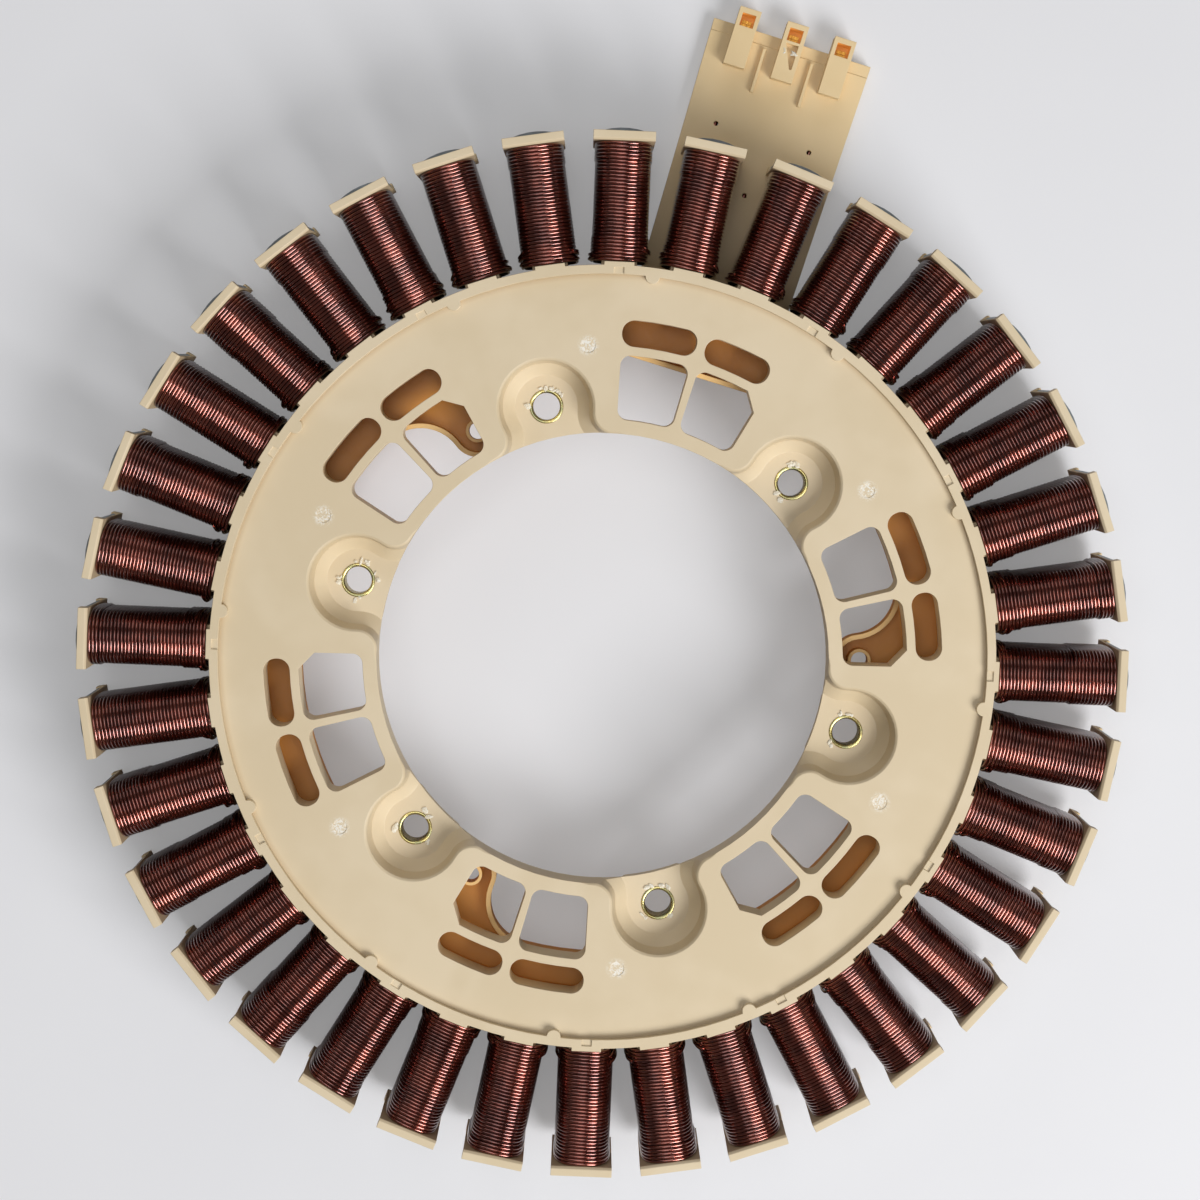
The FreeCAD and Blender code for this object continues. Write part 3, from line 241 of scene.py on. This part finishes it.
def punchedElectricalSteel():
    material, tree, shader, place = newMaterial("punchedElectricalSteel", Metallic=steel["metallic"])
    thickness = steel["sheetMm"] * mm
    height = addNode(tree, "ShaderNodeSeparateXYZ", place).outputs[2]
    counted = addNode(tree, "ShaderNodeMath", height, thickness, operation="DIVIDE")
    sheet = addNode(tree, "ShaderNodeMath", counted, operation="FLOOR")
    toSeam = addNode(tree, "ShaderNodeMath", height, thickness / 2, operation="PINGPONG")
    seam = addNode(tree, "ShaderNodeMapRange", toSeam, steel["seamWidth"] * thickness, 0, 0, 1,
                   interpolation_type="SMOOTHSTEP")
    own = addNode(tree, "ShaderNodeTexWhiteNoise", sheet, noise_dimensions="1D")
    patch = addNode(tree, "ShaderNodeTexNoise", inputs={
        "Vector": place, "Scale": 1 / (steel["patchMm"] * mm), "Detail": steel["patchDetail"],
        "Roughness": steel["patchRoughness"]})
    mixed = addNode(tree, "ShaderNodeMix", steel["patchShare"], own, patch)
    tone = addNode(tree, "ShaderNodeMapRange", mixed, *noiseSpan, 0, 1)
    colour = addNode(tree, "ShaderNodeMix", tone, linear(steel["oxide"]), linear(steel["worn"]),
                     data_type="RGBA")
    shade = addNode(tree, "ShaderNodeMath", seam, steel["seamShare"], operation="MULTIPLY")
    colour = addNode(tree, "ShaderNodeMix", shade, colour, linear(steel["seam"]), data_type="RGBA")
    rough = addNode(tree, "ShaderNodeMapRange", patch, *noiseSpan, *steel["roughness"])
    relief = addNode(tree, "ShaderNodeMath", own, seam, operation="SUBTRACT")
    bump = addNode(tree, "ShaderNodeBump", inputs={
        "Height": relief, "Distance": steel["depthMm"] * mm, "Strength": steel["depthStrength"]})
    fillInputs(tree, shader, {"Base Color": colour, "Roughness": rough, "Normal": bump})
    return material


def patchyFinish(name, finish, **fixed):
    # two shades of one surface in patches, with its gloss varying as they do
    material, tree, shader, place = newMaterial(name, **fixed)
    pattern = addNode(tree, "ShaderNodeMapping", inputs={
        "Vector": place, "Scale": finish.get("stretch", (1, 1, 1))})
    patch = addNode(tree, "ShaderNodeTexNoise", inputs={
        "Vector": pattern, "Scale": 1 / (finish["patchMm"] * mm), "Detail": finish["detail"]})
    tone = addNode(tree, "ShaderNodeMapRange", patch, *finish["toneRange"], 0, 1)
    first, second = finish["shades"]
    colour = addNode(tree, "ShaderNodeMix", tone, linear(first), linear(second), data_type="RGBA")
    rough = addNode(tree, "ShaderNodeMapRange", patch, *noiseSpan, *finish["roughness"])
    fillInputs(tree, shader, {"Base Color": colour, "Roughness": rough})
    return material, tree, shader


# steel tube with a yellow passivated zinc plating: brassy sheen with greenish patches
zinc = {"shades": ("#DDCB88", "#B4B284"), "patchMm": 3, "detail": 3, "toneRange": (0.4, 0.6),
        "roughness": (0.2, 0.34)}

# brass strip, stamped and thinly tinned: the yellow shows through, brushed lengthwise, with the brush lines
# drawn coarser than the real ones, so that they show
brass = {"shades": ("#CD9A4A", "#B07F33"), "patchMm": 0.3, "detail": 3, "toneRange": (0, 1),
         "roughness": (0.25, 0.45), "stretch": (1, 0.1, 1)}

# torn and crushed flash of the same polyester: white where the resin has crazed
crazed = {"shades": ("#F2EEE2", "#DDD2B8"), "patchMm": 0.4, "detail": 3, "toneRange": (0.4, 0.6),
          "roughness": (0.5, 0.7), "ior": 1.5}

# the layer under the outer turns, painted near-black as the shade in the grooves between them
grooveShade = {"shades": ("#1C0A07", "#0D0504"), "patchMm": 3, "detail": 2, "toneRange": (0, 1),
           "roughness": (0.6, 0.6)}

# the table: matt white board, slightly cool
board = {"shades": ("#C9C9CC", "#C4C4C8"), "patchMm": 60, "detail": 3, "toneRange": (0, 1),
         "roughness": (0.7, 0.7), "glow": 0.22}


def mattBoard():
    material, tree, shader = patchyFinish("mattBoard", board)
    # the picture's white ground: the board shows a little lighter to the camera and keeps its shadows
    seen = addNode(tree, "ShaderNodeLightPath").outputs["Is Camera Ray"]
    strength = addNode(tree, "ShaderNodeMath", seen, board["glow"], operation="MULTIPLY")
    fillInputs(tree, shader, {"Emission Color": linear("#FFFFFF"), "Emission Strength": strength})
    material.cycles.emission_sampling = "NONE"  # it lights nothing
    return material


upperMaterial = mouldedPolyester("mouldedPolyesterUpper", polyester["upper"], addWebShadeAndWear)
lowerMaterial = mouldedPolyester("mouldedPolyesterLower", polyester["lower"], addTrayPaintedLight)
wireMaterial = enamelledCopper()
grooveShadeMaterial = patchyFinish("paintedGrooveShade", grooveShade)[0]
coreMaterial = punchedElectricalSteel()
sleeveMaterial = patchyFinish("yellowZincPlate", zinc, Metallic=1)[0]
terminalMaterial = patchyFinish("tinnedBrass", brass, Metallic=1)[0]
flashMaterial = patchyFinish("crazedFlash", crazed, IOR=crazed["ior"])[0]
print("materials made")


def finishPiece(name, mesh, material, *replaced, slot):
    piece = bpy.data.objects.new(name, mesh)
    bpy.context.scene.collection.objects.link(piece)
    mesh.materials.clear()
    mesh.materials.append(material)
    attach(piece, "root")
    if replaced:
        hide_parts(*replaced)


def plainMesh(piece, name):
    # the evaluated shape as a mesh of its own, and the object that made it removed
    evaluated = piece.evaluated_get(bpy.context.evaluated_depsgraph_get())
    mesh = bpy.data.meshes.new_from_object(evaluated)
    mesh.name = name
    bpy.data.objects.remove(piece)
    return mesh


def wireMesh(name, routes, radiusMm, kind, rings):
    # round wire along each route, as a mesh; rings is the fineness of its section
    curve = bpy.data.curves.new(name + "Path", "CURVE")
    curve.dimensions = "3D"
    curve.bevel_depth = radiusMm * mm
    curve.bevel_resolution = rings
    curve.use_fill_caps = True
    for points in routes:
        spline = curve.splines.new(kind)
        spline.points.add(len(points) - 1)
        for point, place in zip(spline.points, points):
            point.co = (*(Vector(place) * mm), 1)
        if kind == "NURBS":
            spline.use_endpoint_u = True
            spline.order_u = 4
            spline.resolution_u = 3
    worker = bpy.data.objects.new(name + "Worker", curve)
    bpy.context.scene.collection.objects.link(worker)
    return plainMesh(worker, name)


# both mouldings are copies of the frame's own meshes with their sharp edges broken
moulding = {"mergeMm": 0.002, "flatAngle": 0.4, "edgeMm": 0.13, "edgeAngle": 32, "edgeSteps": 2,
            "flatWeight": 60}


def roundedMoulding(node, name, material, slot):
    mesh = nodes[node].data.copy()
    mesh.name = name
    shape = bmesh.new()
    shape.from_mesh(mesh)
    bmesh.ops.remove_doubles(shape, verts=shape.verts, dist=moulding["mergeMm"] * mm)
    bmesh.ops.dissolve_limit(shape, angle_limit=math.radians(moulding["flatAngle"]),
                             verts=shape.verts, edges=shape.edges)
    for face in shape.faces:
        face.smooth = True
    shape.to_mesh(mesh)
    shape.free()
    worker = bpy.data.objects.new(name + "Worker", mesh)
    bpy.context.scene.collection.objects.link(worker)
    bevel = worker.modifiers.new("EdgeBreak", "BEVEL")
    bevel.width = moulding["edgeMm"] * mm
    bevel.segments = moulding["edgeSteps"]
    bevel.limit_method = "ANGLE"
    bevel.angle_limit = math.radians(moulding["edgeAngle"])
    bevel.use_clamp_overlap = False
    weighted = worker.modifiers.new("FlatFacesFirst", "WEIGHTED_NORMAL")
    weighted.weight = moulding["flatWeight"]
    finished = plainMesh(worker, name)
    finishPiece(name, finished, material, node, slot=slot)
    print("%s: %d faces" % (name, len(finished.polygons)))


roundedMoulding("upper_insulator", "upperMoulding", upperMaterial, "upper_moulding")
roundedMoulding("lower_insulator", "lowerMoulding", lowerMaterial, "lower_moulding")
dressed = {"stator_core": coreMaterial, "terminal_u": terminalMaterial, "terminal_v": terminalMaterial,
           "terminal_w": terminalMaterial}
for node, material in dressed.items():
    nodes[node].data.materials.clear()
    nodes[node].data.materials.append(material)
print("mouldings, core and terminals dressed")

# the outer layer of each winding, one wire laid turn beside turn from the rim to the tip
winding = {
    "teeth": 36, "turns": 33, "stepsPerTurn": 24, "wireRadiusMm": 0.43, "wireSides": 8, "startMm": 98.66,
    "lastMm": 127.08, "halfWidthMm": 6.6, "halfHeightMm": 15.35, "squareness": 3.3, "unevenMm": 0.02,
    "liftMm": (0.2, 0.38), "underMm": 0.12, "underEndMm": 0.3, "underSteps": 32, "seed": 400, "seedStep": 11,
    # turns of a last, unfinished layer at the rim and at the tip: how likely, and fewest and most turns
    "rimBand": (0.55, 2, 9), "tipBand": (0.6, 2, 12),
}


def makeWindingTree():
    tree = bpy.data.node_groups.new("WindingPath", "GeometryNodeTree")
    tree.interface.new_socket("Geometry", in_out="OUTPUT", socket_type="NodeSocketGeometry")
    floats = ("Start", "Pitch", "Half width", "Half height", "Corner power", "Wire radius", "Uneven", "Lift")
    wholes = ("Turns", "Steps", "Wire sides", "Seed", "Band start", "Band end", "Second start", "Second end")
    for name in floats:
        tree.interface.new_socket(name, in_out="INPUT", socket_type="NodeSocketFloat")
    for name in wholes:
        tree.interface.new_socket(name, in_out="INPUT", socket_type="NodeSocketInt")
    tree.interface.new_socket("Material", in_out="INPUT", socket_type="NodeSocketMaterial")
    given = addNode(tree, "NodeGroupInput").outputs

    count = addNode(tree, "ShaderNodeMath", given["Turns"], given["Steps"], 1, operation="MULTIPLY_ADD")
    line = addNode(tree, "GeometryNodeCurvePrimitiveLine")
    path = addNode(tree, "GeometryNodeResampleCurve", inputs={"Curve": line, "Count": count})
    index = addNode(tree, "GeometryNodeInputIndex")
    along = addNode(tree, "ShaderNodeMath", index, given["Steps"], operation="DIVIDE")
    safe = addNode(tree, "ShaderNodeMath", along, 0.0001, operation="ADD")  # a whole turn never rounds down
    turn = addNode(tree, "ShaderNodeMath", safe, operation="FLOOR")
    phase = addNode(tree, "ShaderNodeMath", along, turn, operation="SUBTRACT")

    def randomPerTurn(offset):
        seed = addNode(tree, "ShaderNodeMath", given["Seed"], offset, operation="ADD")
        drawn = addNode(tree, "FunctionNodeRandomValue", -1, 1, turn, seed, data_type="FLOAT")
        return addNode(tree, "ShaderNodeMath", drawn, given["Uneven"], operation="MULTIPLY")

    # the wire crosses to the next turn on its way under the tooth
    crossing = addNode(tree, "ShaderNodeMapRange", phase, 0.5, 1, 0, 1, interpolation_type="SMOOTHSTEP")
    passed = addNode(tree, "ShaderNodeMath", turn, crossing, operation="ADD")
    advance = addNode(tree, "ShaderNodeMath", passed, given["Pitch"], operation="MULTIPLY")
    outward = addNode(tree, "ShaderNodeMath", advance, given["Start"], operation="ADD")
    x = addNode(tree, "ShaderNodeMath", outward, randomPerTurn(0), operation="ADD")

    def inBand(first, last):
        # half a turn early at both ends, so that whole numbers compare safely
        low = addNode(tree, "ShaderNodeMath", given[first], 0.5, operation="SUBTRACT")
        high = addNode(tree, "ShaderNodeMath", given[last], 0.5, operation="SUBTRACT")
        after = addNode(tree, "ShaderNodeMath", turn, low, operation="GREATER_THAN")
        before = addNode(tree, "ShaderNodeMath", turn, high, operation="LESS_THAN")
        return addNode(tree, "ShaderNodeMath", after, before, operation="MULTIPLY")

    raised = addNode(tree, "ShaderNodeMath", inBand("Band start", "Band end"),
                     inBand("Second start", "Second end"), operation="MAXIMUM")
    lifted = addNode(tree, "ShaderNodeMath", raised, given["Lift"], operation="MULTIPLY")
    lift = addNode(tree, "ShaderNodeMath", lifted, randomPerTurn(7), operation="ADD")
    angle = addNode(tree, "ShaderNodeMath", phase, 2 * math.pi, operation="MULTIPLY")

    def rounded(wave, half):
        value = addNode(tree, "ShaderNodeMath", angle, operation=wave)
        size = addNode(tree, "ShaderNodeMath", value, operation="ABSOLUTE")
        side = addNode(tree, "ShaderNodeMath", value, operation="SIGN")
        bent = addNode(tree, "ShaderNodeMath", size, given["Corner power"], operation="POWER")
        signed = addNode(tree, "ShaderNodeMath", bent, side, operation="MULTIPLY")
        reach = addNode(tree, "ShaderNodeMath", given[half], lift, operation="ADD")
        return addNode(tree, "ShaderNodeMath", signed, reach, operation="MULTIPLY")

    point = addNode(tree, "ShaderNodeCombineXYZ", x, rounded("COSINE", "Half width"),
                    rounded("SINE", "Half height"))
    placed = addNode(tree, "GeometryNodeSetPosition", inputs={"Geometry": path, "Position": point})
    section = addNode(tree, "GeometryNodeCurvePrimitiveCircle", inputs={
        "Resolution": given["Wire sides"], "Radius": given["Wire radius"]})
    wire = addNode(tree, "GeometryNodeCurveToMesh", inputs={
        "Curve": placed, "Profile Curve": section, "Fill Caps": True})
    smooth = addNode(tree, "GeometryNodeSetShadeSmooth", wire)
    real = addNode(tree, "GeometryNodeRealizeInstances", smooth)
    painted = addNode(tree, "GeometryNodeSetMaterial", inputs={
        "Geometry": real, "Material": given["Material"]})
    addNode(tree, "NodeGroupOutput", inputs={"Geometry": painted})
    return tree


windingTree = makeWindingTree()


def windingMesh(name, values):
    carrier = bpy.data.objects.new(name + "Worker", bpy.data.meshes.new(name + "Base"))
    bpy.context.scene.collection.objects.link(carrier)
    modifier = carrier.modifiers.new("Winding", "NODES")
    modifier.node_group = windingTree
    for item in windingTree.interface.items_tree:
        if item.in_out == "INPUT":
            modifier[item.identifier] = values[item.name]
    return plainMesh(carrier, name)


def addUnderLayer(mesh):
    # the layer beneath, seen only at the ground of the grooves, where its near-black colour is painted shade
    shape = bmesh.new()
    shape.from_mesh(mesh)
    count = winding["underSteps"]
    power = 2 / winding["squareness"]
    wide = winding["halfWidthMm"] - winding["underMm"]
    high = winding["halfHeightMm"] - winding["underMm"]
    ends = []
    for x in (winding["startMm"] - winding["underEndMm"], winding["lastMm"] + winding["underEndMm"]):
        ring = []
        for step in range(count):
            across = math.cos(2 * math.pi * step / count)
            up = math.sin(2 * math.pi * step / count)
            y = math.copysign(abs(across) ** power, across) * wide
            z = math.copysign(abs(up) ** power, up) * high
            ring.append(shape.verts.new(Vector((x, y, z)) * mm))
        ends.append(ring)
    inner, outer = ends
    for step in range(count):
        other = (step + 1) % count
        shape.faces.new((inner[step], outer[step], outer[other], inner[other])).smooth = True
    shape.faces.new(inner)
    shape.faces.new(outer[::-1])
    bmesh.ops.recalc_face_normals(shape, faces=shape.faces[-count - 2:])
    shape.to_mesh(mesh)
    shape.free()


# the slack ends of the wire, down beside the root of the tooth; the five points of each run from its head
# over the shoulder and the belly to its tail, along the tooth, aside and up
rootLoops = {
    "perSide": 4, "wireMm": 0.36, "wireRings": 1, "startMm": (98.8, 101.2), "bulgeMm": (7, 7.5),
    "crownMm": (8.5, 12.5), "headAlongMm": (-0.3, 1), "headAsideMm": 6.1, "headUpMm": 1, "shoulderMm": 0.5,
    "bellyMm": 0.2, "bellyUpMm": 5, "waistUpMm": -3, "tailMm": (0.6, 6.5, -9),
}


def addRootLoops(mesh, chance):
    along, aside, up = rootLoops["tailMm"]
    belly = rootLoops["bellyMm"]
    routes = []
    for side in (-1, 1):
        for loop in range(rootLoops["perSide"]):
            start = chance.uniform(*rootLoops["startMm"])
            bulge = chance.uniform(*rootLoops["bulgeMm"])
            crown = chance.uniform(*rootLoops["crownMm"])
            head = start + chance.uniform(*rootLoops["headAlongMm"])
            routes.append([
                (head, side * rootLoops["headAsideMm"], crown + rootLoops["headUpMm"]),
                (start, side * bulge, crown - rootLoops["shoulderMm"]),
                (start - belly, side * (bulge + belly), rootLoops["bellyUpMm"]),
                (start, side * bulge, rootLoops["waistUpMm"]),
                (start + along, side * aside, up)])
    loops = wireMesh("rootLoops", routes, rootLoops["wireMm"], "NURBS", rootLoops["wireRings"])
    shape = bmesh.new()
    shape.from_mesh(mesh)
    shape.from_mesh(loops)
    for face in shape.faces:
        face.smooth = True
    shape.to_mesh(mesh)
    shape.free()
    bpy.data.meshes.remove(loops)


def makeWinding(number):
    chance = random.Random(winding["seed"] + number)
    turns = winding["turns"]
    likely, fewest, most = winding["rimBand"]
    rimBand = (0, chance.randint(fewest, most)) if chance.random() < likely else (0, 0)
    likely, fewest, most = winding["tipBand"]
    tipBand = (turns - chance.randint(fewest, most), turns) if chance.random() < likely else (0, 0)
    mesh = windingMesh("winding%02d" % number, {
        "Start": winding["startMm"] * mm,
        "Pitch": (winding["lastMm"] - winding["startMm"]) / (turns - 1) * mm,
        "Half width": winding["halfWidthMm"] * mm, "Half height": winding["halfHeightMm"] * mm,
        "Corner power": 2 / winding["squareness"], "Wire radius": winding["wireRadiusMm"] * mm,
        "Uneven": winding["unevenMm"] * mm, "Lift": chance.uniform(*winding["liftMm"]) * mm, "Turns": turns,
        "Steps": winding["stepsPerTurn"], "Wire sides": winding["wireSides"],
        "Seed": number * winding["seedStep"], "Band start": rimBand[0], "Band end": rimBand[1],
        "Second start": tipBand[0], "Second end": tipBand[1], "Material": wireMaterial})
    addRootLoops(mesh, chance)
    addUnderLayer(mesh)
    turn = math.radians((number - 0.5) * 360 / winding["teeth"])
    mesh.transform(Matrix.Rotation(turn, 4, "Z"))
    finishPiece("winding%02d" % number, mesh, wireMaterial, "coil_%02d" % number, slot="winding")
    # the last faces are the under layer's sides and its two ends, which take the near-black material of
    # painted shade
    mesh.materials.append(grooveShadeMaterial)
    for face in mesh.polygons[-winding["underSteps"] - 2:]:
        face.material_index = 1
    return len(mesh.polygons)


faceCount = sum(makeWinding(number + 1) for number in range(winding["teeth"]))
print("windings: %d faces" % faceCount)

# steel sleeves with their upper end rolled outwards: out from the bore or the wall, and down from the top
sleeve = {
    "count": 6, "circleMm": 64, "boreMm": 3.35, "wallMm": 0.6, "bottomMm": 0, "topMm": 6.25, "segments": 48,
    "boreRollMm": ((0, 0.6), (0.1, 0.2), (0.35, 0)),
    "lipRollMm": ((0.1, 0), (0.225, 0.08), (0.3, 0.2), (0, 0.24)),
}


def makeSleeve(number):
    bore, outer = sleeve["boreMm"], sleeve["boreMm"] + sleeve["wallMm"]
    top, bottom = sleeve["topMm"], sleeve["bottomMm"]
    profile = [(bore, bottom)]
    profile += [(bore + out, top - down) for out, down in sleeve["boreRollMm"]]
    profile += [(outer + out, top - down) for out, down in sleeve["lipRollMm"]]
    profile.append((outer, bottom))
    shape = bmesh.new()
    rings = []
    for step in range(sleeve["segments"]):
        turn = 2 * math.pi * step / sleeve["segments"]
        rings.append([shape.verts.new((radius * mm * math.cos(turn), radius * mm * math.sin(turn), z * mm))
                      for radius, z in profile])
    for step, ring in enumerate(rings):
        following = rings[(step + 1) % len(rings)]
        for place in range(len(profile)):
            other = (place + 1) % len(profile)
            face = shape.faces.new((ring[place], following[place], following[other], ring[other]))
            face.smooth = 0 < place < len(profile) - 2
    bmesh.ops.recalc_face_normals(shape, faces=shape.faces)
    mesh = bpy.data.meshes.new("sleeveTube%d" % number)
    shape.to_mesh(mesh)
    shape.free()
    turn = math.radians((number - 1) * 360 / sleeve["count"])
    mesh.transform(Matrix.Translation(Vector((math.cos(turn), math.sin(turn), 0)) * sleeve["circleMm"] * mm))
    finishPiece("sleeveTube%d" % number, mesh, sleeveMaterial, "sleeve_%d" % number, slot="sleeve_steel")


for number in range(sleeve["count"]):
    makeSleeve(number + 1)
print("sleeves made")

# enamelled leads in the channel under the yoke, each down and out along its lane; the drop and the bend are
# given outwards and up, from the lead's level in the channel and from the lane's
lead = {
    "radiusMm": 0.7, "rings": 2, "channelMm": (85.9, 95.1), "inChannel": 4, "levelMm": -14.15,
    "laneMm": -19.35, "pitchMm": 12.6, "tabMm": 158.7, "stepDegrees": 4, "sweepDegrees": 318,
    "neutralEndDegrees": 105, "dropMm": ((-0.3, -0.6), (0, -1.5)), "bendMm": ((0, 1.5), (0.5, 0.4), (1.6, 0)),
}


def makeLead(node, number, lane):
    low, high = lead["channelMm"]
    radius = low + (high - low) * (lead["inChannel"] + 0.5 - number) / lead["inChannel"]
    toTerminal = lane is not None
    across = lane * lead["pitchMm"] if toTerminal else 0
    leave = math.acos(across / radius) if toTerminal else math.radians(lead["neutralEndDegrees"])
    steps = round(lead["sweepDegrees"] / lead["stepDegrees"])
    turns = [leave - math.radians(lead["stepDegrees"]) * step for step in range(steps, -1, -1)]
    points = [(radius * math.cos(turn), radius * math.sin(turn), lead["levelMm"]) for turn in turns]
    if toTerminal:
        drop = radius * math.sin(leave)
        points.pop()
        points += [(across, drop + out, lead["levelMm"] + up) for out, up in lead["dropMm"]]
        points += [(across, drop + out, lead["laneMm"] + up) for out, up in lead["bendMm"]]
        points.append((across, lead["tabMm"], lead["laneMm"]))
    name = "wire" + node.split("_")[1].capitalize()
    mesh = wireMesh(name, [points], lead["radiusMm"], "POLY", lead["rings"])
    for face in mesh.polygons:
        face.use_smooth = True
    finishPiece(name, mesh, wireMaterial, node, slot="lead_insulation")


for place, letter in enumerate("uvw"):
    makeLead("lead_" + letter, place + 1, place - 1)
makeLead("lead_neutral", lead["inChannel"], None)
print("leads made")

# crumbs of crushed flash round the sleeves, and white burrs at the torn place on the middle socket
flash = {
    "seed": 31, "ringMm": (4.3, 5.2), "sizeMm": (0.45, 0.9), "levelMm": 6.15, "flatness": 0.45,
    "spinRadians": 6.28, "long": (0.8, 1.5), "wide": (0.5, 1), "lumpy": (0.7, 1.25),
    # for each boss, in degrees round the stator: direction and spread in degrees, with the count between them
    "bosses": {
        0: ((107, 4, 20), (242, 3, 14)), 60: ((107, 5, 22), (242, 3, 15)), 120: ((85, 9, 45), (197, 2, 10)),
        180: ((62, 10, 55), (197, 3, 14), (287, 2, 8)), 240: ((62, 4, 18), (197, 3, 14), (332, 3, 16)),
        300: ((107, 8, 35), (242, 3, 14), (332, 3, 14)),
    },
    # along X and Y, and size
    "burrsMm": ((1.2, 158.9, 0.8), (0.7, 158.5, 0.6), (-1.5, 159.2, 0.55), (-1.35, 158.5, 0.4)),
    "burrLevelMm": -13.15, "burrFlatness": 0.7,
}


def addCrumb(shape, chance, centre, size, flatness):
    made = bmesh.ops.create_icosphere(shape, subdivisions=1, radius=1)["verts"]
    turn = Matrix.Rotation(chance.uniform(0, flash["spinRadians"]), 3, "Z")
    length = size * chance.uniform(*flash["long"])
    width = size * chance.uniform(*flash["wide"])
    stretch = Matrix.Diagonal((length, width, size * flatness))
    for vertex in made:
        vertex.co = turn @ (stretch @ (vertex.co * chance.uniform(*flash["lumpy"]))) + centre


def makeFlash():
    chance = random.Random(flash["seed"])
    shape = bmesh.new()
    for boss, groups in flash["bosses"].items():
        out = math.radians(boss)
        middle = Vector((math.cos(out), math.sin(out), 0)) * sleeve["circleMm"] * mm
        for direction, count, spread in groups:
            for crumb in range(count):
                turn = math.radians(direction + chance.uniform(-spread, spread))
                reach = chance.uniform(*flash["ringMm"]) * mm
                offset = Vector((math.cos(turn) * reach, math.sin(turn) * reach, flash["levelMm"] * mm))
                size = chance.uniform(*flash["sizeMm"]) * mm
                addCrumb(shape, chance, middle + offset, size, flash["flatness"])
    for x, y, size in flash["burrsMm"]:
        centre = Vector((x, y, flash["burrLevelMm"])) * mm
        addCrumb(shape, chance, centre, size * mm, flash["burrFlatness"])
    mesh = bpy.data.meshes.new("crushedFlash")
    shape.to_mesh(mesh)
    shape.free()
    finishPiece("crushedFlash", mesh, flashMaterial, slot="upper_moulding")


makeFlash()
print("flash made")

# the table, the lamps and the camera; the picture's upward direction is given in degrees from the X axis
stage = {
    "tableMm": -21.05, "tableSizeM": 6, "worldStrength": 0.08, "upwardDegrees": 107.4,
    # right and up as the picture shows them, height, size in metres, and power in watts
    "lamps": {
        "windowKey": (0.74, -0.74, 1.02, 0.75, 20), "ceiling": (-0.1, 0.15, 1.5, 0.8, 4.4),
        "backFill": (-0.3, 1.15, 0.75, 1.0, 2.6),
    },
    "cameraMm": (-24.8, 68.1, 780), "aimMm": (-0.65, 14.8, 15), "lensMm": 93.06, "sensorMm": 36,
    "clipEndM": 50,
}
half = stage["tableSizeM"] / 2
level = stage["tableMm"] * mm
table = bpy.data.meshes.new("table")
table.from_pydata([(-half, -half, level), (half, -half, level), (half, half, level), (-half, half, level)],
                  [], [(0, 1, 2, 3)])
table.materials.append(mattBoard())
tableObject = bpy.data.objects.new("table", table)
bpy.context.scene.collection.objects.link(tableObject)

photoUp = math.radians(stage["upwardDegrees"])
upward = Vector((math.cos(photoUp), math.sin(photoUp), 0))
rightward = Vector((upward.y, -upward.x, 0))
for name, (right, up, height, extent, power) in stage["lamps"].items():
    light = bpy.data.lights.new(name, "AREA")
    light.energy = power
    light.size = extent
    holder = bpy.data.objects.new(name, light)
    holder.location = rightward * right + upward * up + Vector((0, 0, height))
    holder.rotation_euler = (-holder.location).to_track_quat("-Z", "Y").to_euler()
    bpy.context.scene.collection.objects.link(holder)

world = bpy.data.worlds.new("studio")
world.use_nodes = True
world.node_tree.nodes.clear()
background = addNode(world.node_tree, "ShaderNodeBackground", inputs={
    "Color": linear("#FFFFFF"), "Strength": stage["worldStrength"]})
addNode(world.node_tree, "ShaderNodeOutputWorld", background)
bpy.context.scene.world = world

lens = bpy.data.cameras.new("camera")
lens.lens = stage["lensMm"]
lens.sensor_width = stage["sensorMm"]
lens.clip_end = stage["clipEndM"]
camera = bpy.data.objects.new("camera", lens)
bpy.context.scene.collection.objects.link(camera)
right, up, height = stage["aimMm"]
eye = Vector(stage["cameraMm"]) * mm
aim = (rightward * right + upward * up + Vector((0, 0, height))) * mm
facing = (aim - eye).normalized()
sideways = facing.cross(upward).normalized()
over = sideways.cross(facing)
camera.matrix_world = Matrix.Translation(eye) @ Matrix((sideways, over, -facing)).transposed().to_4x4()
bpy.context.scene.camera = camera
bpy.context.scene.view_settings.view_transform = "Standard"
print("stage set")
